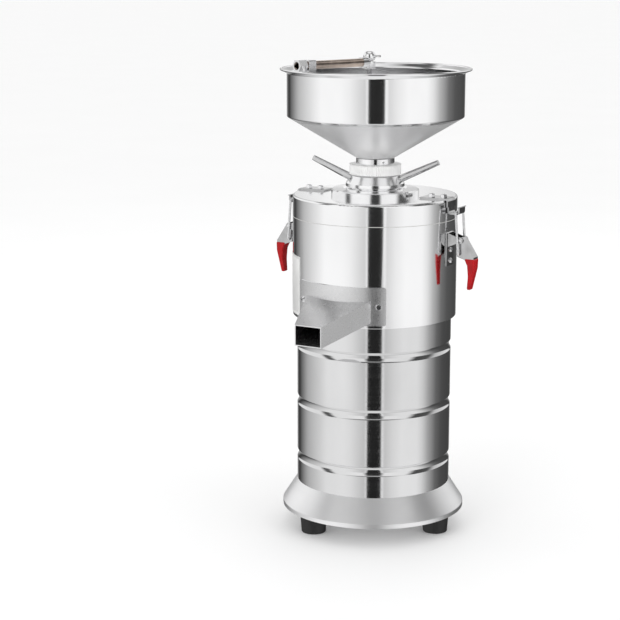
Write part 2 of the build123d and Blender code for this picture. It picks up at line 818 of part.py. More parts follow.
with BuildPart() as lid:
    with BuildSketch(Plane.XY.offset(seam_z)):
        Circle(chamber_r)
    extrude(amount=lid_height)
    fillet(lid.edges().group_by(Axis.Z)[-1], lid_edge_r)
    with BuildSketch(Plane.XY.offset(seam_z)):
        Circle(chamber_r - chamber_sheet)
    extrude(amount=lid_height - chamber_sheet, mode=Mode.SUBTRACT)
    with BuildSketch(Plane.XY.offset(lid_z - chamber_sheet)):
        Circle(boss_spigot_r + lap_gap)
    extrude(amount=chamber_sheet, mode=Mode.SUBTRACT)
    for angle in latch_sides.values():
        with BuildSketch(Plane.XY.offset(lid_z - chamber_sheet)):
            for number in range(2):
                reach = catch_start_r + catch_screw_first + number * catch_screw_pitch
                with Locations((reach * cos(radians(angle)), reach * sin(radians(angle)))):
                    Circle(catch_screw_r + lap_gap)
        extrude(amount=chamber_sheet, mode=Mode.SUBTRACT)
lid.part.label = "lid"
export_step(lid.part, "parts/lid.step")

with BuildPart() as lid_boss:
    with BuildSketch(Plane.XZ):
        with BuildLine():
            Polyline(
                (nut_thread_r + run_fit, lid_z - boss_spigot_depth),
                (boss_spigot_r, lid_z - boss_spigot_depth),
                (boss_spigot_r, lid_z),
                (boss_r, lid_z),
                (boss_r, boss_z - 2.6),
                (boss_r - 1.6, boss_z - 1.4),
                (hub_foot_r + 3, boss_z),
                (nut_thread_r + run_fit, boss_z),
                close=True,
            )
        make_face()
    revolve(axis=Axis.Z)
lid_boss.part.label = "lid_boss"
export_step(lid_boss.part, "parts/lid_boss.step")

# Feed sleeve with the upper stone, its collar ring and the ring that holds the nut
nut_foot_z = hub_z - nut_thread_length
ring_z = nut_foot_z - thrust_gap - retaining_ring_thickness
sleeve_top_z = neck_z - collar_lip
with BuildPart() as feed_sleeve:
    with BuildSketch(Plane.XZ):
        with BuildLine():
            Polyline(
                (sleeve_bore_r, sleeve_flange_z),
                (stone_r, sleeve_flange_z),
                (stone_r, sleeve_flange_z + sleeve_flange_thickness),
                (sleeve_r + 5, sleeve_flange_z + sleeve_flange_thickness),
                (sleeve_r, sleeve_flange_z + sleeve_flange_thickness + 5),
                (sleeve_r, sleeve_top_z),
                (sleeve_bore_r, sleeve_top_z),
                close=True,
            )
        make_face()
    revolve(axis=Axis.Z)
feed_sleeve.part.label = "feed_sleeve"
export_step(feed_sleeve.part, "parts/feed_sleeve.step")

with BuildPart() as upper_grinding_stone:
    with BuildSketch(Plane.XY.offset(upper_stone_z)):
        Circle(stone_r)
        Circle(sleeve_bore_r, mode=Mode.SUBTRACT)
    extrude(amount=stone_thickness)
    with BuildSketch(Plane.XY.offset(upper_stone_z)):
        with PolarLocations((stone_r + sleeve_bore_r) / 2, stone_furrows):
            Rectangle(stone_r - sleeve_bore_r + 10, furrow_width, rotation=-20)
    extrude(amount=furrow_depth, mode=Mode.SUBTRACT)
upper_grinding_stone.part.label = "upper_grinding_stone"
export_step(upper_grinding_stone.part, "parts/upper_grinding_stone.step")

with BuildPart() as retaining_ring:
    with BuildSketch(Plane.XY.offset(ring_z)):
        Circle(retaining_ring_r)
        Circle(sleeve_r + seat_fit, mode=Mode.SUBTRACT)
    extrude(amount=retaining_ring_thickness)
retaining_ring.part.label = "retaining_ring"
export_step(retaining_ring.part, "parts/retaining_ring.step")

with BuildPart() as collar_ring:
    with BuildSketch(Plane.XY.offset(collar_z)):
        Circle(collar_r)
    extrude(amount=collar_height)
    fillet(collar_ring.edges().group_by(Axis.Z)[-1], collar_round)
    with BuildSketch(Plane.XY.offset(collar_z)):
        Circle(sleeve_r + seat_fit)
    extrude(amount=collar_height - collar_lip, mode=Mode.SUBTRACT)
    with BuildSketch(Plane.XY.offset(neck_z - collar_lip)):
        Circle(sleeve_bore_r)
    extrude(amount=collar_lip, mode=Mode.SUBTRACT)
collar_ring.part.label = "collar_ring"
export_step(collar_ring.part, "parts/collar_ring.step")

# Adjusting nut and its two handles
tilt = radians(handle_tilt)
handle_z = hub_z + handle_height
handle_axis_r = hub_foot_r - (hub_foot_r - hub_top_r) * handle_height / hub_height


def handle_plane(bearing, along):
    """A plane across a handle's axis, at a distance along it from the hub's face."""
    turn = radians(bearing)
    direction = Vector(cos(turn) * cos(tilt), sin(turn) * cos(tilt), sin(tilt))
    root = Vector(handle_axis_r * cos(turn), handle_axis_r * sin(turn), handle_z)
    return Plane(origin=root + direction * along, z_dir=direction)


with BuildPart() as adjusting_nut:
    with BuildSketch(Plane.XZ):
        with BuildLine():
            Polyline(
                (sleeve_r + run_fit, nut_foot_z),
                (nut_thread_r, nut_foot_z),
                (nut_thread_r, hub_z),
                (hub_foot_r - 1, hub_z),
                (hub_foot_r, hub_z + 1.2),
                (hub_foot_r - 0.4, hub_z + hub_foot_height),
                (hub_top_r, hub_top_z),
                (sleeve_r + run_fit, hub_top_z),
                close=True,
            )
        make_face()
    revolve(axis=Axis.Z)
    for bearing_angle in (handle_bearing, handle_bearing + 180):
        with BuildSketch(handle_plane(bearing_angle, -handle_depth)):
            Circle(handle_root_r + seat_fit)
        extrude(amount=handle_length / 2, mode=Mode.SUBTRACT)
adjusting_nut.part.label = "adjusting_nut"
export_step(adjusting_nut.part, "parts/adjusting_nut.step")

for side, bearing_angle in (("right", handle_bearing), ("left", handle_bearing + 180)):
    with BuildPart() as handle:
        with BuildSketch(handle_plane(bearing_angle, -handle_depth)):
            Circle(handle_root_r)
        extrude(amount=2 * handle_depth)
        with BuildSketch(handle_plane(bearing_angle, handle_depth)):
            Circle(handle_root_r)
        with BuildSketch(handle_plane(bearing_angle, handle_length)):
            Circle(handle_tip_r)
        loft()
        fillet(handle.faces().sort_by(Axis.Z)[-1].edges(), 0.8)
    handle.part.label = f"handle_{side}"
    export_step(handle.part, f"parts/handle_{side}.step")

# Hopper: cone, bowl wall and flared lip with a rolled bead, on a neck ring with the outlet tube
cone_slope = hopper_cone_height / (hopper_r - neck_r)
neck_screw_z = neck_z + neck_screw_above
half_sheet = sheet / 2
outlet_mid_r = outlet_r - half_sheet
bowl_mid_r = hopper_r - half_sheet
cone_foot_z = cone_z - cone_slope * (neck_r - outlet_mid_r)
lip_end = (bowl_mid_r + lip_reach, rim_z + lip_rise)
with BuildPart() as hopper:
    with BuildSketch(Plane.XZ):
        with BuildLine():
            FilletPolyline(
                (outlet_mid_r, cone_foot_z),
                (bowl_mid_r, bowl_z),
                (bowl_mid_r, rim_z),
                lip_end,
                radius=1.6,
            )
            offset(amount=half_sheet, side=Side.BOTH)
        make_face()
        with Locations(lip_end):
            Circle(lip_bead_r)
    revolve(axis=Axis.Z)
hopper.part.label = "hopper"
export_step(hopper.part, "parts/hopper.step")

with BuildPart() as hopper_neck:
    with BuildSketch(Plane.XZ):
        with BuildLine():
            Polyline(
                (outlet_r - sheet, cone_z - outlet_depth),
                (outlet_r, cone_z - outlet_depth),
                (outlet_r, neck_z),
                (neck_r, neck_z),
                (neck_r, cone_z - sheet),
                (outlet_r - sheet, cone_z - sheet - cone_slope * (neck_r - outlet_r + sheet)),
                close=True,
            )
        make_face()
    revolve(axis=Axis.Z)
    with BuildSketch(outward_plane(neck_screw_bearing, outlet_r, neck_screw_z)):
        Circle(neck_screw_r + seat_fit)
    extrude(amount=10, mode=Mode.SUBTRACT)
hopper_neck.part.label = "hopper_neck"
export_step(hopper_neck.part, "parts/hopper_neck.step")

with BuildPart() as neck_screw:
    with BuildSketch(outward_plane(neck_screw_bearing, outlet_r + lap_gap, neck_screw_z)):
        Circle(neck_screw_r)
    extrude(amount=neck_screw_length)
    neck_screw_out_r = outlet_r + lap_gap + neck_screw_length
    with BuildSketch(outward_plane(neck_screw_bearing, neck_screw_out_r, neck_screw_z)):
        Rectangle(2 * neck_screw_r, 0.8)
    extrude(amount=-1.0, mode=Mode.SUBTRACT)
neck_screw.part.label = "neck_screw"
export_step(neck_screw.part, "parts/neck_screw.step")

# Water pipe across the rim, with its clamp, end nut and tap
clamp_in_r = hopper_r - sheet - clamp_inner_reach
clamp_out_r = lip_end[0] - clamp_outer_inset
pipe_nut_in_r = clamp_out_r + 1.5
pipe_out_r = pipe_nut_in_r + pipe_nut_lap
tap_boss_out_r = tap_offset + tap_boss_reach
pipe_in_r = tap_offset + tap_body_r + 2
with BuildPart() as water_pipe:
    with BuildSketch(outward_plane(pipe_bearing, pipe_in_r, pipe_z)):
        Circle(pipe_r)
        Circle(pipe_bore_r, mode=Mode.SUBTRACT)
    extrude(amount=pipe_out_r - pipe_in_r)
water_pipe.part.label = "water_pipe"
export_step(water_pipe.part, "parts/water_pipe.step")

lip_slope = lip_rise / lip_reach
lip_gap = half_sheet * sqrt(1 + lip_slope**2) + 2 * lap_gap
clamp_top_z = pipe_z + clamp_above_pipe
wall_face_r = sqrt((hopper_r - sheet) ** 2 - (clamp_width / 2) ** 2) - lap_gap
with BuildPart() as pipe_clamp:
    with BuildSketch(radial_plane(pipe_bearing)):
        with BuildLine():
            Polyline(
                (clamp_in_r, rim_z - clamp_leg),
                (wall_face_r, rim_z - clamp_leg),
                (wall_face_r, rim_z + lip_gap + 0.3),
                (clamp_out_r, rim_z + lip_slope * (clamp_out_r - bowl_mid_r) + lip_gap + 0.6),
                (clamp_out_r, clamp_top_z),
                (clamp_in_r, clamp_top_z),
                close=True,
            )
        make_face()
    extrude(amount=clamp_width / 2, both=True)
    fillet(pipe_clamp.faces().sort_by(Axis.Z)[-1].edges(), 1.2)
    with BuildSketch(outward_plane(pipe_bearing, clamp_in_r - 5, pipe_z)):
        Circle(pipe_r + seat_fit)
    extrude(amount=clamp_out_r - clamp_in_r + 10, mode=Mode.SUBTRACT)
pipe_clamp.part.label = "pipe_clamp"
export_step(pipe_clamp.part, "parts/pipe_clamp.step")

with BuildPart() as pipe_nut:
    with BuildSketch(outward_plane(pipe_bearing, pipe_nut_in_r, pipe_z)):
        RegularPolygon(pipe_nut_width / 2, 6, major_radius=False)
    extrude(amount=pipe_nut_length)
    with BuildSketch(outward_plane(pipe_bearing, pipe_nut_in_r, pipe_z)):
        Circle(pipe_r + seat_fit)
    extrude(amount=pipe_nut_lap, mode=Mode.SUBTRACT)
    with BuildSketch(outward_plane(pipe_bearing, pipe_nut_in_r, pipe_z)):
        Circle(inlet_bore_r)
    extrude(amount=pipe_nut_length, mode=Mode.SUBTRACT)
pipe_nut.part.label = "pipe_nut"
export_step(pipe_nut.part, "parts/pipe_nut.step")

tap_x = tap_offset * cos(radians(pipe_bearing))
tap_y = tap_offset * sin(radians(pipe_bearing))
tap_z = pipe_z - tap_below_pipe
tap_top_z = tap_z + tap_body_height
knob_z = tap_top_z + pass_gap
with BuildPart() as tap_body:
    with BuildSketch(Plane.XY.offset(tap_z)):
        with Locations((tap_x, tap_y)):
            Circle(tap_body_r)
    extrude(amount=tap_body_height)
    fillet(tap_body.edges(), 0.8)
    with BuildSketch(outward_plane(pipe_bearing, tap_offset, pipe_z)):
        Circle(tap_boss_r)
    extrude(amount=tap_boss_reach)
    with BuildSketch(Plane.XY.offset(tap_top_z)):
        with Locations((tap_x, tap_y)):
            Circle(knob_r + pass_gap)
    extrude(amount=knob_height, mode=Mode.SUBTRACT)
    with BuildSketch(Plane.XY.offset(tap_z)):
        with Locations((tap_x, tap_y)):
            Circle(tap_outlet_r)
    extrude(amount=-tap_outlet_length)
    with BuildSketch(outward_plane(pipe_bearing, pipe_in_r, pipe_z)):
        Circle(pipe_r + seat_fit)
    extrude(amount=tap_boss_out_r - pipe_in_r, mode=Mode.SUBTRACT)
    with BuildSketch(Plane.XY.offset(tap_z - tap_outlet_length)):
        with Locations((tap_x, tap_y)):
            Circle(tap_outlet_bore_r)
    extrude(amount=tap_outlet_length + 2, mode=Mode.SUBTRACT)
    with BuildSketch(Plane.XY.offset(tap_top_z)):
        with Locations((tap_x, tap_y)):
            Circle(tap_stem_r + run_fit)
    extrude(amount=-tap_stem_length, mode=Mode.SUBTRACT)
tap_body.part.label = "tap_body"
export_step(tap_body.part, "parts/tap_body.step")

knob_middle_z = knob_z + knob_height * 0.42
lever_bearing = radians(pipe_bearing + knob_lever_turn)
with BuildPart() as tap_knob:
    with BuildSketch(Plane.XY.offset(knob_z)):
        with Locations((tap_x, tap_y)):
            Circle(knob_r)
    extrude(amount=knob_height)
    fillet(tap_knob.edges().group_by(Axis.Z)[-1], 0.8 * knob_r)
    fillet(tap_knob.edges().group_by(Axis.Z)[0], 0.5 * knob_r)
    with BuildSketch(Plane.XY.offset(knob_z)):
        with Locations((tap_x, tap_y)):
            Circle(tap_stem_r)
    extrude(amount=-tap_stem_length)
    with BuildSketch(
        Plane(
            origin=(tap_x, tap_y, knob_middle_z + 1),
            z_dir=(cos(lever_bearing), sin(lever_bearing), 0),
        )
    ):
        Circle(knob_lever_r)
    extrude(amount=knob_lever_length)
tap_knob.part.label = "tap_knob"
export_step(tap_knob.part, "parts/tap_knob.step")

# Catches: a strip on the lid that folds down its side and curls up into a hook
pivot_r = chamber_r + pivot_reach
pivot_z = seam_z - pivot_drop
bail_pivot_r = pivot_r + throw * cos(radians(throw_angle))
bail_pivot_z = pivot_z + throw * sin(radians(throw_angle))
trough_z = lid_z - hook_drop
bar_r = chamber_r + bail_reach
bar_z = trough_z + bar_gap + bail_wire_r
fold_r = chamber_r + 0.2 + catch_thickness / 2
lip_r = bar_r + bail_wire_r + 0.5 + catch_thickness / 2
for side, angle in latch_sides.items():
    with BuildPart() as catch:
        with BuildSketch(radial_plane(angle)):
            with BuildLine():
                FilletPolyline(
                    (catch_start_r, lid_z + catch_thickness / 2),
                    (fold_r, lid_z + catch_thickness / 2),
                    (fold_r, trough_z - catch_thickness / 2),
                    (lip_r, trough_z - catch_thickness / 2),
                    (lip_r, trough_z + hook_lip),
                    radius=catch_bend,
                )
                offset(amount=catch_thickness / 2, side=Side.BOTH)
            make_face()
        extrude(amount=catch_width / 2, both=True)
        for edge_side in (-1, 1):
            with BuildSketch(radial_plane(angle, edge_side * (hook_width / 2 + catch_width / 2))):
                with Locations((fold_r + catch_width / 2, trough_z - catch_thickness)):
                    Rectangle(catch_width + 2 * catch_thickness, 2 * hook_lip + 2 * catch_thickness)
            extrude(amount=catch_width / 2, both=True, mode=Mode.SUBTRACT)
        for number in range(2):
            reach = catch_start_r + catch_screw_first + number * catch_screw_pitch
            with BuildSketch(Plane.XY.offset(lid_z)):
                with Locations((reach * cos(radians(angle)), reach * sin(radians(angle)))):
                    Circle(catch_screw_r + lap_gap)
            extrude(amount=catch_thickness, mode=Mode.SUBTRACT)
    catch.part.label = f"catch_{side}"
    export_step(catch.part, f"parts/catch_{side}.step")

with BuildPart() as catch_screws:
    for angle in latch_sides.values():
        for number in range(2):
            reach = catch_start_r + catch_screw_first + number * catch_screw_pitch
            spot = (reach * cos(radians(angle)), reach * sin(radians(angle)))
            with BuildSketch(Plane.XY.offset(lid_z + catch_thickness)):
                with Locations(spot):
                    RegularPolygon(catch_screw_head_r, 6)
            extrude(amount=catch_screw_head, taper=8)
            with BuildSketch(Plane.XY.offset(lid_z + catch_thickness)):
                with Locations(spot):
                    Circle(catch_screw_r)
            extrude(amount=-catch_screw_length)
catch_screws.part.label = "catch_screws"
export_step(catch_screws.part, "parts/catch_screws.step")

# Latch bases: a curved plate with two ears that hold the lever's pin
plate_top_z = pivot_z + latch_plate_above
plate_low_z = pivot_z - latch_plate_below
for side, angle in latch_sides.items():
    with BuildPart() as latch_base:
        with BuildSketch(Plane.XY.offset(plate_low_z)):
            Circle(chamber_r + latch_plate)
            Circle(chamber_r + seat_fit, mode=Mode.SUBTRACT)
            with Locations(Location((0, 0, 0), (0, 0, angle))):
                with Locations((chamber_r, 0)):
                    Rectangle(20, latch_plate_width, mode=Mode.INTERSECT)
        extrude(amount=plate_top_z - plate_low_z)
        for ear_side in (-1, 1):
            with BuildSketch(radial_plane(angle, ear_side * (ear_half_gap + ear_thickness / 2))):
                with BuildLine():
                    Polyline(
                        (chamber_r + latch_plate / 2, pivot_z - 9),
                        (pivot_r - ear_r, pivot_z - ear_r),
                        (pivot_r, pivot_z - ear_r),
                        (pivot_r, pivot_z + ear_r),
                        (pivot_r - ear_r, pivot_z + ear_r),
                        (chamber_r + latch_plate / 2, plate_top_z),
                        close=True,
                    )
                make_face()
                with Locations((pivot_r, pivot_z)):
                    Circle(ear_r)
                    Circle(pin_r + seat_fit, mode=Mode.SUBTRACT)
            extrude(amount=ear_thickness / 2, both=True)
        for drop in (latch_screw_high, latch_screw_low):
            with BuildSketch(outward_plane(angle, chamber_r - 5, pivot_z - drop)):
                Circle(latch_screw_r / 2 + lap_gap)
            extrude(amount=10, mode=Mode.SUBTRACT)
    latch_base.part.label = f"latch_base_{side}"
    export_step(latch_base.part, f"parts/latch_base_{side}.step")

with BuildPart() as latch_pins:
    for angle in latch_sides.values():
        with BuildSketch(radial_plane(angle)):
            with Locations((pivot_r, pivot_z)):
                Circle(pin_r)
        extrude(amount=ear_half_gap + ear_thickness + 0.2, both=True)
latch_pins.part.label = "latch_pins"
export_step(latch_pins.part, "parts/latch_pins.step")

with BuildPart() as latch_screws:
    for angle in latch_sides.values():
        for drop in (latch_screw_high, latch_screw_low):
            with BuildSketch(outward_plane(angle, chamber_r + latch_plate, pivot_z - drop)):
                Circle(latch_screw_r)
            extrude(amount=latch_screw_height, taper=20)
            with BuildSketch(outward_plane(angle, chamber_r + latch_plate, pivot_z - drop)):
                Circle(latch_screw_r / 2)
            extrude(amount=-latch_plate - chamber_sheet - 4)
latch_screws.part.label = "latch_screws"
export_step(latch_screws.part, "parts/latch_screws.step")

# Levers: a channel that hangs from the pin and carries the bail's pivot, with a moulded grip
knee_r = pivot_r + 17.6
knee_z = pivot_z - 19.5
tongue_z = pivot_z - tongue_drop
grip_top_z = pivot_z - 21.5
lever_outline = [
    (pivot_r - 3.8, pivot_z - 1.0),
    (pivot_r - 2.6, pivot_z + 3.4),
    (pivot_r + 2.4, pivot_z + 3.9),
    (knee_r, knee_z),
    (knee_r - 0.3, knee_z - 10.0),
    (pivot_r + 12.4, tongue_z),
    (pivot_r + 10.4, tongue_z),
    (pivot_r + 12.6, knee_z - 12.5),
    (pivot_r + 5.5, knee_z - 3.5),
    (bail_pivot_r - 3.0, bail_pivot_z - 3.2),
    (bail_pivot_r - 4.2, bail_pivot_z + 2.0),
]
grip_bottom_z = grip_top_z - grip_length
grip_outline = [
    (pivot_r + 5.2, grip_top_z),
    (pivot_r + 18.3, grip_top_z),
    (pivot_r + 18.3, grip_top_z - 11.0),
    (pivot_r + 12.6, grip_bottom_z),
    (pivot_r + 8.0, grip_bottom_z),
    (pivot_r + 9.6, grip_bottom_z + 16.0),
    (pivot_r + 9.0, grip_top_z - 8.5),
]
for side, angle in latch_sides.items():
    with BuildPart() as latch_lever:
        with BuildSketch(radial_plane(angle)):
            with BuildLine():
                Polyline(*lever_outline, close=True)
            make_face()
            fillet(vertices().filter_by_position(Axis.Y, tongue_z - 1, pivot_z + 10), 0.9)
        extrude(amount=lever_half_width, both=True)
        with BuildSketch(radial_plane(angle)):
            with BuildLine():
                Polyline(
                    (pivot_r - 10, knee_z - 10.5),
                    (knee_r - 1.5, knee_z - 10.5),
                    (knee_r - 1.3, knee_z - 0.5),
                    (pivot_r + 1.2, pivot_z + 3.6),
                    (pivot_r + 1.2, pivot_z + 8),
                    (pivot_r - 10, pivot_z + 8),
                    close=True,
                )
            make_face()
        extrude(amount=lever_half_width - lever_sheet, both=True, mode=Mode.SUBTRACT)
        with BuildSketch(radial_plane(angle)):
            with Locations((pivot_r, pivot_z)):
                Circle(pin_r + run_fit)
            with Locations((bail_pivot_r, bail_pivot_z)):
                Circle(bail_wire_r + run_fit)
        extrude(amount=lever_half_width, both=True, mode=Mode.SUBTRACT)
        with BuildSketch(outward_plane(angle, pivot_r, grip_top_z)):
            for edge in (-1, 1):
                with BuildLine():
                    Polyline(
                        (edge * lever_half_width, 0),
                        (edge * grip_width, 0),
                        (edge * grip_width, tongue_z - grip_top_z),
                        (edge * tongue_foot_width / 2, tongue_z - grip_top_z),
                        close=True,
                    )
                make_face()
        extrude(amount=pivot_reach + throw, mode=Mode.SUBTRACT)
    latch_lever.part.label = f"latch_lever_{side}"
    export_step(latch_lever.part, f"parts/latch_lever_{side}.step")

    with BuildPart() as latch_grip:
        with BuildSketch(radial_plane(angle)):
            with BuildLine():
                Polyline(*grip_outline, close=True)
            make_face()
            fillet(vertices().filter_by_position(Axis.Y, grip_bottom_z + 1, grip_top_z - 1), 6.0)
        extrude(amount=grip_width / 2, both=True)
        with BuildSketch(outward_plane(angle, pivot_r, grip_top_z)):
            with BuildLine():
                Polyline(
                    (-grip_width / 2, 0),
                    (grip_width / 2, 0),
                    (grip_foot_width / 2, -grip_length),
                    (-grip_foot_width / 2, -grip_length),
                    close=True,
                )
            make_face()
        extrude(amount=pivot_reach + throw, mode=Mode.INTERSECT)
        fillet(latch_grip.edges(), grip_round)
        add(latch_lever.part, mode=Mode.SUBTRACT)
    latch_grip.part.label = f"latch_grip_{side}"
    export_step(latch_grip.part, f"parts/latch_grip_{side}.step")

    turn = radians(angle)
    with BuildPart() as bail:
        outward = Vector(cos(turn), sin(turn), 0)
        sideways = Vector(-sin(turn), cos(turn), 0)
        stub = lever_half_width - lever_sheet
        foot = outward * bail_pivot_r + Vector(0, 0, bail_pivot_z)
        head = outward * bar_r + Vector(0, 0, bar_z)
        with BuildLine():
            FilletPolyline(
                foot - sideways * stub,
                foot - sideways * bail_half_width,
                head - sideways * bail_half_width,
                head + sideways * bail_half_width,
                foot + sideways * bail_half_width,
                foot + sideways * stub,
                radius=bail_bend,
            )
        with BuildSketch(Plane(origin=foot - sideways * stub, z_dir=-sideways)):
            Circle(bail_wire_r)
        sweep()
    bail.part.label = f"bail_{side}"
    export_step(bail.part, f"parts/bail_{side}.step")

# Switch and cable gland at the rear
with BuildPart() as switch_bezel:
    with BuildSketch(outward_plane(90, motor_r, switch_z)):
        RectangleRounded(bezel_width, bezel_height, 2.0)
    extrude(amount=bezel_thickness)
    fillet(switch_bezel.faces().sort_by(Axis.Y)[-1].edges(), 0.8)
    with BuildSketch(outward_plane(90, motor_r, switch_z)):
        Rectangle(switch_body_width, switch_body_height)
    extrude(amount=-switch_body_depth)
    with BuildSketch(outward_plane(90, motor_r + bezel_thickness, switch_z)):
        Rectangle(switch_mouth_width, switch_mouth_height)
    extrude(amount=-switch_mouth_depth, mode=Mode.SUBTRACT)
    with BuildSketch(Plane.YZ):
        with Locations((motor_r + bezel_thickness - rocker_pivot_depth, switch_z)):
            Circle(rocker_pin_r + run_fit)
    extrude(amount=switch_mouth_width / 2 + rocker_pin_length + pass_gap, both=True, mode=Mode.SUBTRACT)
switch_bezel.part.label = "switch_bezel"
export_step(switch_bezel.part, "parts/switch_bezel.step")

rocker_turn = radians(rocker_tilt)
rocker_y = motor_r + bezel_thickness - rocker_pivot_depth
rocker_half = switch_mouth_width / 2 - pass_gap
with BuildPart() as switch_rocker:
    rocker_outward = (0, cos(rocker_turn), sin(rocker_turn))
    with BuildSketch(Plane(origin=(0, rocker_y, switch_z), x_dir=rocker_outward, z_dir=(1, 0, 0))):
        with BuildLine():
            Polyline(
                (-5.0, -4.5),
                (0.5, -10.8),
                (5.6, -9.6),
                (3.6, 0),
                (5.6, 9.6),
                (0.5, 10.8),
                (-5.0, 4.5),
                close=True,
            )
        make_face()
    extrude(amount=rocker_half, both=True)
    with BuildSketch(Plane.YZ):
        with Locations((rocker_y, switch_z)):
            Circle(rocker_pin_r)
    extrude(amount=switch_mouth_width / 2 + rocker_pin_length, both=True)
switch_rocker.part.label = "switch_rocker"
export_step(switch_rocker.part, "parts/switch_rocker.step")

with BuildPart() as cable_gland:
    with BuildSketch(outward_plane(90, motor_r, gland_z)):
        RegularPolygon(gland_width / 2, 6, major_radius=False)
    extrude(amount=gland_flange)
    with BuildSketch(outward_plane(90, motor_r, gland_z)):
        Circle(gland_r)
    extrude(amount=-gland_inside)
    with BuildSketch(outward_plane(90, motor_r + gland_flange, gland_z)):
        Circle(gland_r - 2)
    extrude(amount=gland_nut_length - 5)
    with BuildSketch(outward_plane(90, motor_r - gland_inside, gland_z)):
        Circle(gland_bore_r)
    extrude(amount=gland_inside + gland_flange + gland_nut_length, mode=Mode.SUBTRACT)
cable_gland.part.label = "cable_gland"
export_step(cable_gland.part, "parts/cable_gland.step")

with BuildPart() as gland_nut:
    with BuildSketch(outward_plane(90, motor_r + gland_flange, gland_z)):
        Circle(gland_nut_r)
    extrude(amount=gland_nut_length)
    fillet(gland_nut.edges().sort_by(Axis.Y)[-1], 3.5)
    with BuildSketch(outward_plane(90, motor_r + gland_flange, gland_z)):
        Circle(gland_r - 2 + seat_fit)
    extrude(amount=gland_nut_length - 4.8, mode=Mode.SUBTRACT)
    with BuildSketch(outward_plane(90, motor_r + gland_flange, gland_z)):
        Circle(cable_bore_r)
    extrude(amount=gland_nut_length, mode=Mode.SUBTRACT)
gland_nut.part.label = "gland_nut"
export_step(gland_nut.part, "parts/gland_nut.step")
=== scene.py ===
"""Dresses the upright stone mill for peanut butter: finishes, fine parts, studio and camera.

Everything is in metres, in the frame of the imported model: the origin is on the machine's axis at
floor level, +Z is up and the spout points to -Y.
"""
import json
from math import cos, pi, radians, sin

import bpy
from mathutils import Matrix, Vector

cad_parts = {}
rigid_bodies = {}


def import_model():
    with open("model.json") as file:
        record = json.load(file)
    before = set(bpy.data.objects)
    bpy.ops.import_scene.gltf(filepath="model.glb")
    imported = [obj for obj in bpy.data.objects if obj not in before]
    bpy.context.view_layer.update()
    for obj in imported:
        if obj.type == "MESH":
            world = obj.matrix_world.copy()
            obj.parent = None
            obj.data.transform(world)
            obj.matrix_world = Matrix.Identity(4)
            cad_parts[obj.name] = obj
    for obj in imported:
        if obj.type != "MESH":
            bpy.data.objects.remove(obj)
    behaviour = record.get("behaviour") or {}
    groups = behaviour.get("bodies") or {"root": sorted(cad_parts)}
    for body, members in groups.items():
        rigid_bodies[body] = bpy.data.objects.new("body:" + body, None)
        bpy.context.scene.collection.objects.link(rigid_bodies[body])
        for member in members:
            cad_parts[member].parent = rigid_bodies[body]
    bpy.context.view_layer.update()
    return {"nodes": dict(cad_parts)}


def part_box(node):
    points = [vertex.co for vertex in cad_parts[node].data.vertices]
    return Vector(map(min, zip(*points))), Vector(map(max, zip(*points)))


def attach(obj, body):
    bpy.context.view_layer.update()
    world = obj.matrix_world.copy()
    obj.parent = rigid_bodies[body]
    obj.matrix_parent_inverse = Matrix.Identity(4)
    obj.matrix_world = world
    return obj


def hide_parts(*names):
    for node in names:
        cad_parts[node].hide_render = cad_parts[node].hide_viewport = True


bl_info = {
    "name": "Peanut Butter Mill",
    "version": (1, 0, 0),
    "blender": (4, 5, 0),
    "location": "View3D > Sidebar > Mill",
    "description": "Finishes, fine parts and studio for an upright stone mill",
    "category": "Object",
}

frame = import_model()


# Settings that a user would change


class MillSizes(bpy.types.PropertyGroup):
    """Sizes of the parts that are made here."""

    plate_start: bpy.props.FloatProperty(
        name="Plate start",
        description="Bearing of the bare plate's right-hand edge",
        default=radians(233.5),
        unit="ROTATION",
    )
    plate_sweep: bpy.props.FloatProperty(
        name="Plate sweep",
        description="Angle that the bare plate covers on the chamber",
        default=radians(44),
        unit="ROTATION",
    )
    plate_foot: bpy.props.FloatProperty(
        name="Plate foot",
        description="Height of the plate's lower edge above the chamber's foot",
        default=0.0040,
        unit="LENGTH",
    )
    plate_height: bpy.props.FloatProperty(
        name="Plate height", description="Height of the bare plate", default=0.0720, unit="LENGTH"
    )
    plate_thickness: bpy.props.FloatProperty(
        name="Plate thickness", description="Thickness of the bare plate", default=0.0005, unit="LENGTH"
    )
    collar_ribs: bpy.props.IntProperty(
        name="Collar ribs", description="Number of ribs round the collar ring", default=72, min=12
    )
    rib_depth: bpy.props.FloatProperty(
        name="Rib depth", description="Depth of the collar's ribs", default=0.0011, unit="LENGTH"
    )
    collar_bore: bpy.props.FloatProperty(
        name="Collar bore", description="Radius of the collar's bore", default=0.0231, unit="LENGTH"
    )
    cone_height: bpy.props.FloatProperty(
        name="Cone height", description="Height of the hopper's cone", default=0.0495, unit="LENGTH"
    )
    recess_length: bpy.props.FloatProperty(
        name="Recess length", description="Length of a screw's cross, in head radii", default=1.25
    )
    recess_width: bpy.props.FloatProperty(
        name="Recess width", description="Width of a screw's cross, in head radii", default=0.30
    )
    recess_depth: bpy.props.FloatProperty(
        name="Recess depth", description="Depth of a screw's cross, in head radii", default=0.35
    )


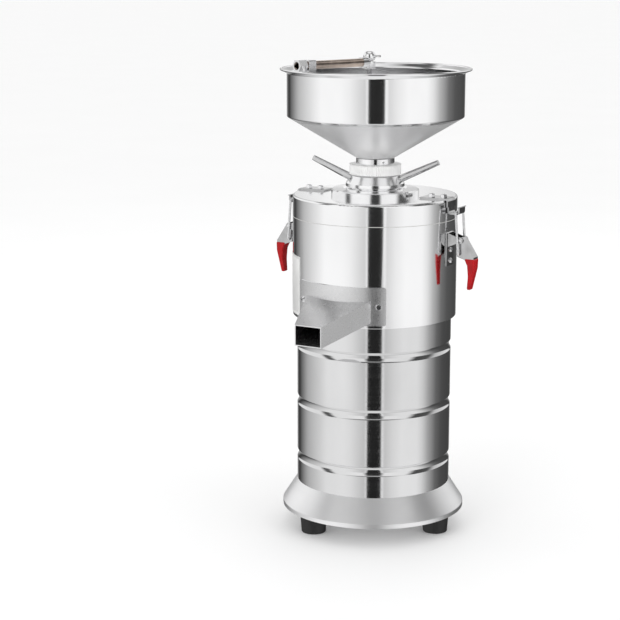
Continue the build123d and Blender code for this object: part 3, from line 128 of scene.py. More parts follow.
class MillFinish(bpy.types.PropertyGroup):
    """Colours of the finishes."""

    steel: bpy.props.FloatVectorProperty(
        name="Steel", description="Stainless steel", subtype="COLOR", default=(0.93, 0.93, 0.935)
    )
    bright: bpy.props.FloatVectorProperty(
        name="Zinc", description="Bright fasteners", subtype="COLOR", default=(0.88, 0.88, 0.89)
    )
    pipe: bpy.props.FloatVectorProperty(
        name="Pipe", description="Thin nickel over brass", subtype="COLOR", default=(0.70, 0.58, 0.50)
    )
    grip: bpy.props.FloatVectorProperty(
        name="Grips", description="Dipped red grips", subtype="COLOR", default=(0.40, 0.002, 0.005)
    )
    collar: bpy.props.FloatVectorProperty(
        name="Collar", description="White moulded nylon", subtype="COLOR", default=(0.93, 0.93, 0.925)
    )
    rubber: bpy.props.FloatVectorProperty(
        name="Rubber", description="Feet and shaft seal", subtype="COLOR", default=(0.006, 0.006, 0.006)
    )
    gasket: bpy.props.FloatVectorProperty(
        name="Gasket", description="Pale silicone", subtype="COLOR", default=(0.60, 0.60, 0.58)
    )
    stone: bpy.props.FloatVectorProperty(
        name="Stone", description="Grinding stones", subtype="COLOR", default=(0.56, 0.54, 0.49)
    )
    plate: bpy.props.FloatVectorProperty(
        name="Plate", description="Bare plate on the chamber", subtype="COLOR", default=(0.80, 0.80, 0.79)
    )


class MillStudio(bpy.types.PropertyGroup):
    """Camera, light and floor."""

    camera_bearing: bpy.props.FloatProperty(
        name="Camera bearing", description="Bearing of the camera", default=radians(-63), unit="ROTATION"
    )
    camera_distance: bpy.props.FloatProperty(
        name="Camera distance", description="From the machine's axis", default=2.087, unit="LENGTH"
    )
    camera_height: bpy.props.FloatProperty(
        name="Camera height", description="Above the floor", default=0.7005, unit="LENGTH"
    )
    camera_tilt: bpy.props.FloatProperty(
        name="Camera tilt", description="Below the level", default=0.203, unit="ROTATION"
    )
    camera_turn: bpy.props.FloatProperty(
        name="Camera turn", description="To the left of the axis", default=radians(2.18), unit="ROTATION"
    )
    lens: bpy.props.FloatProperty(
        name="Lens", description="Focal length in millimetres", default=99.93, min=10.0
    )
    ambient: bpy.props.FloatProperty(
        name="Ambient", description="Level of the even light", default=1.02, min=0.0
    )
    floor_size: bpy.props.FloatProperty(
        name="Floor size", description="Side of the floor", default=60.0, unit="LENGTH"
    )


def sizes():
    return bpy.context.scene.mill_sizes


def colours():
    return bpy.context.scene.mill_finish


def studio():
    return bpy.context.scene.mill_studio


# Finishes


class Finish:
    """A node material while it is being made: its tree, its shader and its object coordinates."""

    # Parts of a pattern's range over which it shades the colour and the roughness
    tint_span = (0.32, 0.68)
    roughness_span = (0.3, 0.7)

    def __init__(self, name, colour, roughness, metallic=0.0):
        self.material = bpy.data.materials.new(name)
        self.material.use_nodes = True
        self.material.diffuse_color = (*colour, 1.0)
        self.tree = self.material.node_tree
        self.shader = self.tree.nodes["Principled BSDF"]
        self.set("Base Color", (*colour, 1.0))
        self.set("Roughness", roughness)
        self.set("Metallic", metallic)
        self.relief_end = None

    def set(self, socket, value):
        self.shader.inputs[socket].default_value = value

    def link(self, output, node, socket):
        self.tree.links.new(output, node.inputs[socket])

    def place(self, stretch=(1.0, 1.0, 1.0)):
        """Object coordinates, stretched along each axis."""
        coordinates = self.tree.nodes.new("ShaderNodeTexCoord")
        mapping = self.tree.nodes.new("ShaderNodeMapping")
        mapping.inputs["Scale"].default_value = stretch
        self.link(coordinates.outputs["Object"], mapping, "Vector")
        return mapping.outputs["Vector"]

    def lathe_place(self):
        """Radius from the machine's axis and height, for marks that run round it."""
        split = self.tree.nodes.new("ShaderNodeSeparateXYZ")
        self.link(self.place(), split, "Vector")
        flat = self.tree.nodes.new("ShaderNodeCombineXYZ")
        self.link(split.outputs["X"], flat, "X")
        self.link(split.outputs["Y"], flat, "Y")
        radius = self.tree.nodes.new("ShaderNodeVectorMath")
        radius.operation = "LENGTH"
        self.link(flat.outputs["Vector"], radius, 0)
        joined = self.tree.nodes.new("ShaderNodeCombineXYZ")
        self.link(radius.outputs["Value"], joined, "X")
        self.link(split.outputs["Z"], joined, "Z")
        return joined.outputs["Vector"]

    def noise(self, vector, scale, detail=3.0):
        made = self.tree.nodes.new("ShaderNodeTexNoise")
        made.inputs["Scale"].default_value = scale
        made.inputs["Detail"].default_value = detail
        self.link(vector, made, "Vector")
        return made.outputs["Fac"]

    def cells(self, vector, scale):
        made = self.tree.nodes.new("ShaderNodeTexVoronoi")
        made.inputs["Scale"].default_value = scale
        self.link(vector, made, "Vector")
        return made.outputs["Distance"]

    def bands(self, vector, scale, axis="Z"):
        made = self.tree.nodes.new("ShaderNodeTexWave")
        made.bands_direction = axis
        made.inputs["Scale"].default_value = scale
        self.link(vector, made, "Vector")
        return made.outputs["Fac"]

    def spread(self, value, source, target):
        """Runs a value from one range to another."""
        made = self.tree.nodes.new("ShaderNodeMapRange")
        for socket, level in zip(("From Min", "From Max", "To Min", "To Max"), (*source, *target)):
            made.inputs[socket].default_value = level
        self.link(value, made, "Value")
        return made.outputs["Result"]

    def tint(self, pattern, low, high):
        """Runs the base colour between two shades of its own colour along a pattern."""
        ramp = self.tree.nodes.new("ShaderNodeValToRGB")
        colour = self.shader.inputs["Base Color"].default_value[:3]
        for element, share in zip(ramp.color_ramp.elements, (low, high)):
            element.color = (*(min(1.0, part * share) for part in colour), 1.0)
        for element, position in zip(ramp.color_ramp.elements, self.tint_span):
            element.position = position
        self.link(pattern, ramp, "Fac")
        self.link(ramp.outputs["Color"], self.shader, "Base Color")

    def vary_roughness(self, pattern, low, high):
        """Runs the roughness between two values along a pattern."""
        self.link(self.spread(pattern, self.roughness_span, (low, high)), self.shader, "Roughness")

    def satin_below(self, height, satin, polished, dulled):
        """Satin and a little duller under a height, and polished above it."""
        split = self.tree.nodes.new("ShaderNodeSeparateXYZ")
        self.link(self.place(), split, "Vector")
        satin_end = 0.002
        polish_start = 0.001
        edge = (height - satin_end, height + polish_start)
        self.link(self.spread(split.outputs["Z"], edge, (satin, polished)), self.shader, "Roughness")
        self.link(self.spread(split.outputs["Z"], edge, (dulled, 1.0)), self.shader, "Metallic")

    def relief(self, pattern, depth, strength):
        """Adds a fine relief; a second call lies on top of the first."""
        bump = self.tree.nodes.new("ShaderNodeBump")
        bump.inputs["Distance"].default_value = depth
        bump.inputs["Strength"].default_value = strength
        self.link(pattern, bump, "Height")
        if self.relief_end is not None:
            self.link(self.relief_end, bump, "Normal")
        self.relief_end = bump.outputs["Normal"]
        self.link(self.relief_end, self.shader, "Normal")

    def sheet_waves(self):
        """The long, shallow waves that rolled sheet shows in its reflections."""
        self.relief(self.noise(self.place((1.0, 1.0, 0.4)), 22.0, detail=1.0), 0.00010, 0.35)


def painted_shade_of(colour, share):
    """A colour at a share of its level: a darker copy of the steel, painted shade that makes a part read
    darker than the sheet.
    """
    return tuple(part * share for part in colour)


def polished_sheet():
    """Mirror polished stainless sheet, a little wavy, with faint wiping marks."""
    finish = Finish("polished_sheet", colours().steel, 0.10, metallic=1.0)
    smudges = finish.noise(finish.place((1.0, 1.0, 0.5)), 14.0, detail=4.0)
    marks = finish.noise(finish.lathe_place(), 900.0, detail=2.0)
    finish.tint(smudges, 0.965, 1.03)
    finish.vary_roughness(smudges, 0.07, 0.13)
    finish.sheet_waves()
    finish.relief(marks, 0.000010, 0.25)
    return finish.material


def hopper_sheet():
    """Stainless sheet with a satin cone under a polished bowl."""
    finish = Finish("hopper_sheet", colours().steel, 0.10, metallic=1.0)
    smudges = finish.noise(finish.place((1.0, 1.0, 0.5)), 14.0, detail=4.0)
    finish.tint(smudges, 0.965, 1.03)
    bowl_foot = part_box("hopper")[0].z + sizes().cone_height
    finish.satin_below(bowl_foot, satin=0.34, polished=0.09, dulled=0.82)
    finish.sheet_waves()
    finish.relief(finish.noise(finish.lathe_place(), 900.0, detail=2.0), 0.000010, 0.25)
    return finish.material


def painted_shade_shell():
    """Rolled stainless shell of the motor, with painted shade: its colour is the steel darkened to 0.78,
    so it reads darker and duller than the polished pieces.
    """
    finish = Finish("painted_shade_shell", painted_shade_of(colours().steel, 0.78), 0.10, metallic=1.0)
    finish.tint(finish.noise(finish.place((1.0, 1.0, 0.5)), 14.0, detail=4.0), 0.95, 1.04)
    grain = finish.noise(finish.lathe_place(), 1100.0, detail=3.0)
    finish.vary_roughness(grain, 0.07, 0.13)
    finish.sheet_waves()
    finish.relief(grain, 0.000010, 0.25)
    return finish.material


def brushed_sheet():
    """Satin stainless sheet, brushed round the machine."""
    # Painted shade: the steel colour darkened a little, to 0.97 of its level.
    finish = Finish("brushed_sheet", painted_shade_of(colours().steel, 0.97), 0.38, metallic=1.0)
    lines = finish.noise(finish.lathe_place(), 1400.0, detail=4.0)
    finish.tint(finish.noise(finish.place(), 18.0), 0.96, 1.03)
    finish.vary_roughness(lines, 0.34, 0.42)
    finish.relief(lines, 0.000008, 0.3)
    return finish.material


def spout_sheet():
    """Stainless sheet of the spout, brushed along the flow."""
    # Painted shade: the steel colour darkened to 0.80, so the spout reads greyer than the sheet.
    finish = Finish("spout_sheet", painted_shade_of(colours().steel, 0.80), 0.30, metallic=1.0)
    lines = finish.noise(finish.place((900.0, 14.0, 900.0)), 1.0, detail=3.0)
    finish.tint(finish.noise(finish.place(), 24.0), 0.96, 1.03)
    finish.vary_roughness(lines, 0.26, 0.34)
    finish.relief(lines, 0.000006, 0.3)
    return finish.material


def pressed_strip():
    """Bright strip and plate of the catches and latches, with pressing marks, and painted shade: its
    colour is the steel darkened to 0.54.
    """
    finish = Finish("pressed_strip", painted_shade_of(colours().steel, 0.54), 0.12, metallic=1.0)
    marks = finish.noise(finish.place(), 70.0, detail=3.0)
    finish.tint(marks, 0.80, 1.08)
    finish.vary_roughness(marks, 0.07, 0.16)
    finish.relief(marks, 0.00022, 0.5)
    return finish.material


def turned_metal():
    """Turned and polished steel with fine lathe marks."""
    finish = Finish("turned_metal", colours().steel, 0.14, metallic=1.0)
    marks = finish.noise(finish.lathe_place(), 2600.0, detail=2.0)
    finish.tint(finish.noise(finish.place(), 30.0), 0.95, 1.03)
    finish.vary_roughness(marks, 0.09, 0.18)
    finish.relief(marks, 0.00002, 0.35)
    return finish.material


def polished_bar():
    """Polished round bar of the handles, with painted shade: its colour is the steel darkened to 0.66, so
    it reads darker than the sheet.
    """
    finish = Finish("polished_bar", painted_shade_of(colours().steel, 0.66), 0.08, metallic=1.0)
    wear = finish.noise(finish.place(), 60.0, detail=3.0)
    finish.tint(wear, 0.90, 1.05)
    finish.vary_roughness(wear, 0.06, 0.12)
    return finish.material


def zinc_plating():
    """Bright zinc on screws, pins and wire."""
    finish = Finish("zinc_plating", colours().bright, 0.16, metallic=1.0)
    spots = finish.noise(finish.place(), 320.0, detail=4.0)
    finish.tint(spots, 0.86, 1.05)
    finish.vary_roughness(spots, 0.11, 0.24)
    return finish.material


def cast_alloy():
    """Light alloy as cast, with a fine sand texture."""
    finish = Finish("cast_alloy", (0.56, 0.57, 0.58), 0.5, metallic=1.0)
    sand = finish.noise(finish.place(), 900.0, detail=5.0)
    finish.tint(finish.noise(finish.place(), 40.0), 0.88, 1.05)
    finish.vary_roughness(sand, 0.40, 0.60)
    finish.relief(sand, 0.00008, 0.6)
    return finish.material


def lamination():
    """Stacked iron sheets, varnished."""
    finish = Finish("lamination", (0.16, 0.16, 0.17), 0.5, metallic=0.7)
    sheets = finish.bands(finish.place(), 620.0)
    finish.tint(sheets, 0.6, 1.25)
    finish.vary_roughness(finish.noise(finish.place(), 90.0), 0.4, 0.6)
    finish.relief(sheets, 0.00010, 0.6)
    return finish.material


def enamelled_wire():
    """Copper wire under varnish, wound in many turns."""
    finish = Finish("enamelled_wire", (0.62, 0.24, 0.09), 0.3, metallic=0.8)
    turns = finish.bands(finish.lathe_place(), 330.0, axis="X")
    finish.tint(turns, 0.55, 1.2)
    finish.vary_roughness(finish.noise(finish.place(), 200.0), 0.22, 0.4)
    finish.relief(turns, 0.00030, 0.8)
    return finish.material


def nickelled_brass():
    """Water pipe: thin nickel through which the brass shows."""
    finish = Finish("nickelled_brass", colours().pipe, 0.17, metallic=1.0)
    wear = finish.noise(finish.place(), 120.0, detail=4.0)
    finish.tint(wear, 0.84, 1.08)
    finish.vary_roughness(wear, 0.12, 0.24)
    return finish.material


def grindstone():
    """Rough cut stone with coarse and fine grit."""
    finish = Finish("grindstone", colours().stone, 0.85)
    grit = finish.cells(finish.place(), 900.0)
    finish.tint(finish.noise(finish.place(), 260.0, detail=5.0), 0.72, 1.12)
    finish.vary_roughness(grit, 0.75, 0.95)
    finish.relief(grit, 0.0004, 0.7)
    return finish.material


def moulded_rubber():
    """Black rubber with a dull bloom."""
    finish = Finish("moulded_rubber", colours().rubber, 0.55)
    bloom = finish.noise(finish.place(), 160.0, detail=4.0)
    finish.tint(bloom, 0.7, 1.8)
    finish.vary_roughness(bloom, 0.46, 0.66)
    finish.relief(finish.noise(finish.place(), 1500.0), 0.00006, 0.5)
    return finish.material


def pale_silicone():
    """Pale silicone gasket, a little dusty."""
    finish = Finish("pale_silicone", colours().gasket, 0.5)
    dust = finish.noise(finish.place(), 220.0, detail=4.0)
    finish.tint(dust, 0.92, 1.05)
    finish.vary_roughness(dust, 0.42, 0.58)
    return finish.material


def dipped_grip():
    """Glossy red plastic that the lever's end is dipped in."""
    finish = Finish("dipped_grip", colours().grip, 0.24)
    flow = finish.noise(finish.place((1.0, 1.0, 0.4)), 130.0, detail=2.0)
    finish.set("Coat Weight", 0.12)
    finish.set("Coat Roughness", 0.12)
    finish.set("Specular IOR Level", 0.2)
    finish.tint(flow, 0.78, 1.12)
    finish.vary_roughness(flow, 0.2, 0.3)
    finish.relief(flow, 0.00025, 0.35)
    return finish.material


def white_nylon():
    """White moulded nylon, a little uneven in tone."""
    finish = Finish("white_nylon", colours().collar, 0.42)
    cloud = finish.noise(finish.place(), 90.0)
    finish.tint(cloud, 0.95, 1.03)
    finish.vary_roughness(cloud, 0.36, 0.5)
    finish.relief(finish.noise(finish.place(), 1100.0), 0.00003, 0.4)
    return finish.material


def black_nylon():
    """Black moulded plastic with a fine spark-eroded texture."""
    finish = Finish("black_nylon", (0.018, 0.018, 0.019), 0.42)
    grain = finish.noise(finish.place(), 2200.0, detail=2.0)
    finish.tint(finish.noise(finish.place(), 60.0), 0.8, 1.5)
    finish.vary_roughness(grain, 0.36, 0.5)
    finish.relief(grain, 0.00005, 0.6)
    return finish.material


def plate_enamel():
    """Plain printed aluminium plate, satin and pale."""
    finish = Finish("plate_enamel", colours().plate, 0.38, metallic=0.25)
    lines = finish.noise(finish.place((10.0, 10.0, 320.0)), 6.0, detail=3.0)
    finish.tint(finish.noise(finish.place(), 40.0), 0.95, 1.04)
    finish.vary_roughness(lines, 0.3, 0.44)
    finish.relief(lines, 0.00002, 0.4)
    return finish.material


finish_of = {
    polished_sheet: ("chamber_housing", "lid"),
    hopper_sheet: ("hopper",),
    painted_shade_shell: ("motor_housing",),
    brushed_sheet: ("base_skirt", "base_plate"),
    spout_sheet: ("spout",),
    pressed_strip: (
        "catch_right", "catch_left", "latch_base_right", "latch_base_left", "latch_lever_right",
        "latch_lever_left",
    ),
    turned_metal: (
        "lid_boss", "adjusting_nut", "feed_sleeve", "disc_holder", "motor_shaft", "hopper_neck",
        "retaining_ring", "upper_bearing", "lower_bearing", "tap_body", "tap_knob", "pipe_nut",
    ),
    polished_bar: ("handle_right", "handle_left"),
    zinc_plating: (
        "foot_screws", "catch_screws", "latch_pins", "latch_screws", "spout_screws", "shaft_nut",
        "neck_screw", "motor_tie_rods", "bail_right", "bail_left", "pipe_clamp",
    ),
    cast_alloy: ("chamber_floor", "motor_top_shield", "motor_bottom_shield"),
    lamination: ("stator_core", "rotor_core"),
    enamelled_wire: ("stator_winding",),
    nickelled_brass: ("water_pipe",),
    grindstone: ("lower_grinding_stone", "upper_grinding_stone"),
    moulded_rubber: ("rubber_feet", "shaft_seal"),
    pale_silicone: ("lid_gasket",),
    dipped_grip: ("latch_grip_right", "latch_grip_left"),
    white_nylon: ("collar_ring",),
    black_nylon: (
        "cooling_fan", "switch_bezel", "switch_rocker", "cable_gland", "gland_nut", "capacitor",
    ),
}
made_finishes = {}


def finish_named(maker):
    """The finish that a function makes, made once."""
    if maker.__name__ not in made_finishes:
        made_finishes[maker.__name__] = maker()
    return made_finishes[maker.__name__]


# Making and editing pieces


def start_clean():
    """Leaves edit mode and deselects everything."""
    if bpy.context.object is not None and bpy.context.object.mode != "OBJECT":
        bpy.ops.object.mode_set(mode="OBJECT")
    bpy.ops.object.select_all(action="DESELECT")


def hold(piece):
    """Selects one piece alone and makes it active."""
    start_clean()
    piece.select_set(True)
    bpy.context.view_layer.objects.active = piece


def named(name, maker):
    """Names the active object, gives it its finish and puts its place in its mesh."""
    piece = bpy.context.object
    piece.name = name
    piece.data.name = name
    bpy.ops.object.transform_apply(location=True, rotation=True, scale=True)
    piece.data.materials.clear()
    piece.data.materials.append(finish_named(maker))
    return piece


def edit(piece, kind="VERT"):
    """Opens a piece in edit mode with nothing selected."""
    hold(piece)
    bpy.ops.object.mode_set(mode="EDIT")
    bpy.ops.mesh.select_mode(type=kind)
    bpy.ops.mesh.select_all(action="DESELECT")


def choose(piece, test, kind="VERT"):
    """Selects the vertices or faces that pass a test, in edit mode."""
    bpy.ops.mesh.select_all(action="DESELECT")
    bpy.ops.object.mode_set(mode="OBJECT")
    mesh = piece.data
    items = mesh.vertices if kind == "VERT" else mesh.polygons
    found = 0
    for item in items:
        item.select = bool(test(item))
        found += item.select
    bpy.ops.object.mode_set(mode="EDIT")
    if not found:
        raise RuntimeError(f"{piece.name}: nothing to select")


def leave_edit():
    bpy.ops.object.mode_set(mode="OBJECT")


def apply_modifier(piece, kind, **settings):
    """Gives a piece a modifier with its settings and applies it."""
    hold(piece)
    made = piece.modifiers.new(kind.lower(), kind)
    for key, value in settings.items():
        setattr(made, key, value)
    bpy.ops.object.modifier_apply(modifier=made.name)


def smooth(piece, degrees):
    """Shades a piece smooth where its faces meet at less than an angle."""
    hold(piece)
    bpy.ops.object.shade_smooth_by_angle(angle=radians(degrees))


def bearing_of(point):
    """Bearing of a point round the machine's axis, from 0 to a full turn."""
    return Vector((point[0], point[1])).angle_signed(Vector((1.0, 0.0)), 0.0) % (2 * pi)


def cut(piece, cutter):
    """Takes a cutter out of a piece and removes the cutter."""
    apply_modifier(piece, "BOOLEAN", operation="DIFFERENCE", solver="EXACT", object=cutter)
    start_clean()
    cutter.select_set(True)
    bpy.ops.object.delete()


def recess_screw(screw, upright):
    """Cuts a cross into the outer end of one screw's head."""
    points = [vertex.co.copy() for vertex in screw.data.vertices]
    low = Vector(min(point[axis] for point in points) for axis in range(3))
    high = Vector(max(point[axis] for point in points) for axis in range(3))
    middle = (low + high) / 2
    outward = Vector((0, 0, 1)) if upright else Vector((middle.x, middle.y, 0)).normalized()
    end = max(point.dot(outward) for point in points)
    seat = middle + outward * (end - middle.dot(outward))
    head = max((point - seat).cross(outward).length for point in points)
    facing = outward.to_track_quat("Z", "Y").to_euler()
    long = sizes().recess_length * head
    narrow = sizes().recess_width * head
    depth = 2 * sizes().recess_depth * head
    for scale in ((long, narrow, depth), (narrow, long, depth)):
        start_clean()
        bpy.ops.mesh.primitive_cube_add(size=1.0, location=seat, rotation=facing, scale=scale)
        cut(screw, bpy.context.object)


def recess_screws(node, upright):
    """Copies a group of screws, with a cross in each head, and puts it in the group's place."""
    weld = 1e-6
    hold(frame["nodes"][node])
    bpy.ops.object.duplicate()
    copied = bpy.context.object
    bpy.ops.object.parent_clear(type="CLEAR_KEEP_TRANSFORM")
    bpy.ops.object.transform_apply(location=True, rotation=True, scale=True)
    for key in [key for key in copied.keys() if key.startswith("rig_")]:
        del copied[key]
    bpy.ops.mesh.customdata_custom_splitnormals_clear()
    edit(copied)
    bpy.ops.mesh.select_all(action="SELECT")
    bpy.ops.mesh.remove_doubles(threshold=weld)
    bpy.ops.mesh.separate(type="LOOSE")
    leave_edit()
    screws = list(bpy.context.selected_objects)
    for screw in screws:
        recess_screw(screw, upright)
    start_clean()
    for screw in screws:
        screw.select_set(True)
    bpy.context.view_layer.objects.active = screws[0]
    bpy.ops.object.join()
    made = named(f"{node}_recessed", zinc_plating)
    smooth(made, 35)
    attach(made, "root")
    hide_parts(node)


# Operators


class MILL_OT_finishes(bpy.types.Operator):
    """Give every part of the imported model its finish"""

    bl_idname = "mill.finishes"
    bl_label = "Finishes"

    def execute(self, context):
        for maker, nodes in finish_of.items():
            material = finish_named(maker)
            for node in nodes:
                slots = frame["nodes"][node].material_slots
                if not slots:
                    frame["nodes"][node].data.materials.append(material)
                for slot in slots:
                    slot.material = material
        return {"FINISHED"}


class MILL_OT_screws(bpy.types.Operator):
    """Cut a cross recess into the head of every screw that shows"""

    bl_idname = "mill.screws"
    bl_label = "Screw recesses"

    def execute(self, context):
        for node in ("spout_screws", "latch_screws"):
            recess_screws(node, upright=False)
        recess_screws("catch_screws", upright=True)
        return {"FINISHED"}


class MILL_OT_plate(bpy.types.Operator):
    """Fit the bare plate on the left of the grinding chamber"""

    bl_idname = "mill.plate"
    bl_label = "Bare plate"

    def execute(self, context):
        low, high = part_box("chamber_housing")
        wall = high.x
        foot = low.z + sizes().plate_foot
        height = sizes().plate_height
        border = 0.0022
        bead_width = 0.0004
        bead_depth = 0.00025
        clear_of_wall = 0.9 * sizes().plate_thickness
        start_clean()
        bpy.ops.mesh.primitive_cylinder_add(
            vertices=180,
            radius=wall + sizes().plate_thickness,
            depth=height,
            end_fill_type="NOTHING",
            location=(0, 0, foot + height / 2),
        )
        plate = named("bare_plate", plate_enamel)
        edit(plate, "FACE")
        last = sizes().plate_start
        first = last - sizes().plate_sweep
        choose(plate, lambda face: not first < bearing_of(face.center) < last, "FACE")
        bpy.ops.mesh.delete(type="FACE")
        bpy.ops.mesh.select_all(action="SELECT")
        bpy.ops.mesh.inset(thickness=border, depth=0.0)
        bpy.ops.mesh.inset(thickness=bead_width, depth=-bead_depth)
        bpy.ops.mesh.inset(thickness=bead_width, depth=bead_depth)
        leave_edit()
        apply_modifier(plate, "SOLIDIFY", thickness=clear_of_wall, offset=-1.0)
        smooth(plate, 40)
        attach(plate, "root")
        return {"FINISHED"}


class MILL_OT_collar(bpy.types.Operator):
    """Make the white collar ring with its fine ribs"""

    bl_idname = "mill.collar"
    bl_label = "Ribbed collar"

    def execute(self, context):
        low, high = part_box("collar_ring")
        radius = high.x
        height = high.z - low.z
        middle = (low.z + high.z) / 2
        rim = 0.0013
        rim_reach = 0.0010
        rib_corners = 4
        corners = rib_corners * sizes().collar_ribs
        step = 2 * pi / corners
        start_clean()
        bpy.ops.mesh.primitive_cylinder_add(
            vertices=corners,
            radius=radius,
            depth=height,
            end_fill_type="NGON",
            location=(0, 0, low.z + height / 2),
        )
        collar = named("collar_ribbed", white_nylon)
        edit(collar, "FACE")
        choose(collar, lambda face: abs(face.normal.z) > 0.9, "FACE")
        bpy.ops.mesh.inset(thickness=radius - sizes().collar_bore, use_individual=True)
        bpy.ops.mesh.bridge_edge_loops()
        leave_edit()
        edit(collar, "FACE")
        outer = radius * 0.98
        choose(
            collar,
            lambda face: abs(face.normal.z) < 0.1 and Vector(face.center[:2]).length > outer,
            "FACE",
        )
        bpy.ops.mesh.inset(thickness=rim, depth=0.0)
        leave_edit()
        edit(collar)
        choose(
            collar,
            lambda vertex: Vector(vertex.co[:2]).length > outer
            and abs(vertex.co.z - middle) < height / 2 - rim_reach
            and round(bearing_of(vertex.co) / step) % rib_corners in (0, 1),
        )
        share = (radius - sizes().rib_depth) / radius
        bpy.ops.transform.resize(value=(share, share, 1.0), center_override=(0, 0, middle))
        leave_edit()
        smooth(collar, 28)
        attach(collar, "sleeve")
        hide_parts("collar_ring")
        return {"FINISHED"}


class MILL_OT_studio(bpy.types.Operator):
    """Set up the floor, the light and the camera"""

    bl_idname = "mill.studio"
    bl_label = "Studio"

    # Levels of the tent by bearing in degrees: its walls, and its part above the horizon
    wall_levels = (
        (-180, 0.52),
        (-152, 0.82),
        (-137, 1.00),
        (-108, 1.00),
        (-96, 0.92),
        (-84, 0.76),
        (-75.5, 0.66),
        (-74.0, 1.00),
        (-73.0, 1.00),
        (-72.5, 0.020),
        (-51.5, 0.020),
        (-51.0, 1.00),
        (-49.0, 1.00),
        (-46.5, 0.70),
        (-34, 0.88),
        (-20, 1.00),
        (6, 1.00),
        (15, 0.84),
        (27, 0.48),
        (44, 0.17),
        (60, 0.09),
        (96, 0.06),
        (106, 0.30),
        (118, 0.55),
        (133, 0.30),
        (143, 0.05),
        (150, 0.05),
        (165, 0.25),
        (180, 0.52),
    )
    upper_levels = (
        (-180, 0.95),
        (-150, 0.98),
        (-142, 0.12),
        (-134, 0.12),
        (-126, 0.98),
        (-78, 1.00),
        (-72, 0.03),
        (-52, 0.03),
        (-46, 1.00),
        (-8, 0.98),
        (4, 0.08),
        (30, 0.10),
        (44, 0.70),
        (80, 0.96),
        (108, 0.45),
        (114, 0.62),
        (116, 0.96),
        (118.5, 1.00),
        (120.5, 0.60),
        (130, 0.45),
        (150, 0.95),
        (180, 0.95),
    )

    # Levels of the tent by height, the share that they have in it, and the step at the horizon
    ring_levels = (
        (-1, 0.80),
        (-0.78, 0.94),
        (-0.70, 0.50),
        (0, 1.00),
        (0.66, 0.98),
        (0.72, 0.10),
        (0.84, 0.10),
        (0.90, 0.95),
        (1, 0.90),
    )
    ring_shares = ((-1, 1), (-0.72, 1), (-0.66, 0), (0.62, 0), (0.68, 1), (1, 1))
    horizon_shares = ((-1, 0), (-0.02, 0), (0.02, 1), (1, 1))

    def execute(self, context):
        self.make_floor()
        self.make_world()
        self.make_lamps()
        self.make_camera()
        return {"FINISHED"}

    def make_floor(self):
        start_clean()
        bpy.ops.mesh.primitive_plane_add(size=studio().floor_size, location=(0, 0, 0))
        floor = bpy.context.object
        floor.name = "floor"
        paper = Finish("paper", (0.97, 0.97, 0.97), 0.8)
        paper.tint(paper.noise(paper.place(), 3.0), 0.99, 1.0)
        floor.data.materials.append(paper.material)
        floor.visible_glossy = False

    def make_world(self):
        """Even light all round, and for reflections a tent with dark gaps between its panels."""
        world = bpy.data.worlds.new("tent")
        bpy.context.scene.world = world
        world.use_nodes = True
        tree = world.node_tree
        tree.nodes.clear()
        new, link = tree.nodes.new, tree.links.new

        def background(strength):
            made = new("ShaderNodeBackground")
            made.inputs["Color"].default_value = (1.0, 1.0, 1.0, 1.0)
            made.inputs["Strength"].default_value = strength
            return made

        direction = new("ShaderNodeTexCoord").outputs["Generated"]
        split = new("ShaderNodeSeparateXYZ")
        link(direction, split.inputs["Vector"])
        bearing = new("ShaderNodeMath")
        bearing.operation = "ARCTAN2"
        link(split.outputs["Y"], bearing.inputs[0])
        link(split.outputs["X"], bearing.inputs[1])

        def share(value, reach):
            made = new("ShaderNodeMapRange")
            made.inputs["From Min"].default_value = -reach
            made.inputs["From Max"].default_value = reach
            link(value, made.inputs["Value"])
            return made.outputs["Result"]

        def ramp(driver, reach, levels):
            made = new("ShaderNodeValToRGB")
            link(driver, made.inputs["Fac"])
            while len(made.color_ramp.elements) < len(levels):
                made.color_ramp.elements.new(0.5)
            for element, (place, level) in zip(made.color_ramp.elements, levels):
                element.position = (place + reach) / (2 * reach)
                element.color = (level, level, level, 1.0)
            return made.outputs["Color"]

        def blended(factor, first, second):
            made = new("ShaderNodeMix")
            made.data_type = "RGBA"
            link(factor, made.inputs["Factor"])
            link(first, made.inputs["A"])
            link(second, made.inputs["B"])
            return made.outputs["Result"]

        turn = share(bearing.outputs["Value"], pi)
        rise = share(split.outputs["Z"], 1.0)
        walls = ramp(turn, 180, self.wall_levels)
        upper = ramp(turn, 180, self.upper_levels)
        rings = ramp(rise, 1, self.ring_levels)
        above = ramp(rise, 1, self.horizon_shares)
        outside = ramp(rise, 1, self.ring_shares)
        shades = blended(outside, blended(above, walls, upper), rings)

        tent = background(1.0)
        link(shades, tent.inputs["Color"])
        even = background(studio().ambient)
        backdrop = background(1.0)
        rays = new("ShaderNodeLightPath")
        glossy = new("ShaderNodeMixShader")
        link(rays.outputs["Is Glossy Ray"], glossy.inputs["Fac"])
        link(even.outputs["Background"], glossy.inputs[1])
        link(tent.outputs["Background"], glossy.inputs[2])
        seen = new("ShaderNodeMixShader")
        link(rays.outputs["Is Camera Ray"], seen.inputs["Fac"])
        link(glossy.outputs["Shader"], seen.inputs[1])
        link(backdrop.outputs["Background"], seen.inputs[2])
        out = new("ShaderNodeOutputWorld")
        link(seen.outputs["Shader"], out.inputs["Surface"])

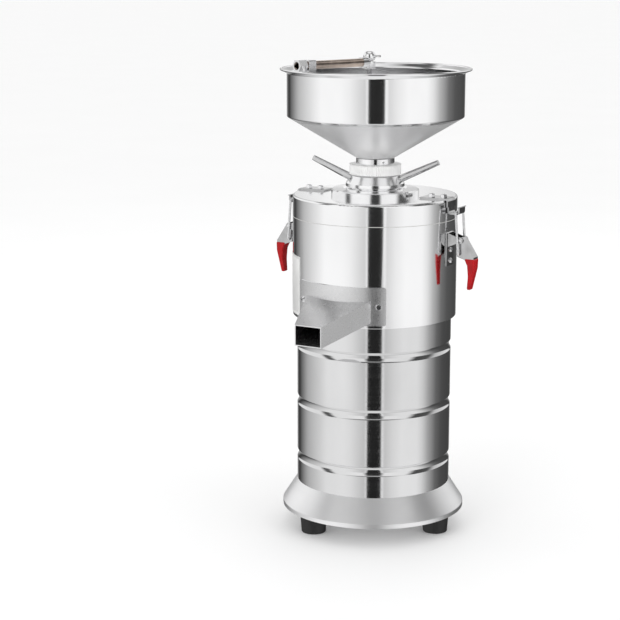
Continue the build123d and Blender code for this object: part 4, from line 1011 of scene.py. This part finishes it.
    def make_lamps(self):
        """Soft boxes that shape the pale and the coloured pieces."""
        target = Vector((0, 0, 0.3))
        for name, bearing, height, reach, size, energy in (
            ("key", -95, 1.1, 2.2, 1.3, 9.0),
            ("fill", -10, 1.2, 2.0, 1.2, 3.0),
            ("back", 110, 1.7, 1.8, 1.2, 3.0),
        ):
            turn = radians(bearing)
            place = Vector((reach * cos(turn), reach * sin(turn), height))
            facing = (target - place).to_track_quat("-Z", "Y").to_euler()
            bpy.ops.object.light_add(type="AREA", location=place, rotation=facing)
            lamp = bpy.context.object
            lamp.name = f"lamp_{name}"
            lamp.data.size = size
            lamp.data.energy = energy
            lamp.visible_glossy = False

    def make_camera(self):
        settings = studio()
        turn = settings.camera_bearing
        place = Vector(
            (
                settings.camera_distance * cos(turn),
                settings.camera_distance * sin(turn),
                settings.camera_height,
            )
        )
        heading = turn + pi + settings.camera_turn
        tilt = settings.camera_tilt
        forward = Vector((cos(heading) * cos(tilt), sin(heading) * cos(tilt), -sin(tilt)))
        right = forward.cross(Vector((0, 0, 1))).normalized()
        upward = right.cross(forward)
        facing = Matrix((right, upward, -forward)).transposed()
        bpy.ops.object.camera_add(location=place, rotation=facing.to_euler())
        camera = bpy.context.object
        camera.name = "camera"
        camera.data.lens = settings.lens
        camera.data.sensor_width = 36.0
        camera.data.clip_start = 0.01
        bpy.context.scene.camera = camera
        bpy.context.scene.view_settings.view_transform = "Standard"


class MILL_PT_panel(bpy.types.Panel):
    """Lists the steps that dress the mill"""

    bl_label = "Peanut Butter Mill"
    bl_idname = "MILL_PT_panel"
    bl_space_type = "VIEW_3D"
    bl_region_type = "UI"
    bl_category = "Mill"

    def draw(self, context):
        layout = self.layout
        for operator in operators:
            layout.operator(operator.bl_idname)
        for group in (sizes(), colours(), studio()):
            for name in group.bl_rna.properties.keys():
                if name not in {"rna_type", "name"}:
                    layout.prop(group, name)


operators = (MILL_OT_finishes, MILL_OT_screws, MILL_OT_plate, MILL_OT_collar, MILL_OT_studio)
groups = {"mill_sizes": MillSizes, "mill_finish": MillFinish, "mill_studio": MillStudio}


def register():
    for item in (*groups.values(), *operators, MILL_PT_panel):
        bpy.utils.register_class(item)
    for name, group in groups.items():
        setattr(bpy.types.Scene, name, bpy.props.PointerProperty(type=group))


def unregister():
    for name in groups:
        delattr(bpy.types.Scene, name)
    for item in reversed((*groups.values(), *operators, MILL_PT_panel)):
        bpy.utils.unregister_class(item)


def main():
    register()
    bpy.ops.mill.finishes()
    bpy.ops.mill.screws()
    bpy.ops.mill.plate()
    bpy.ops.mill.collar()
    bpy.ops.mill.studio()


if __name__ == "__main__":
    main()
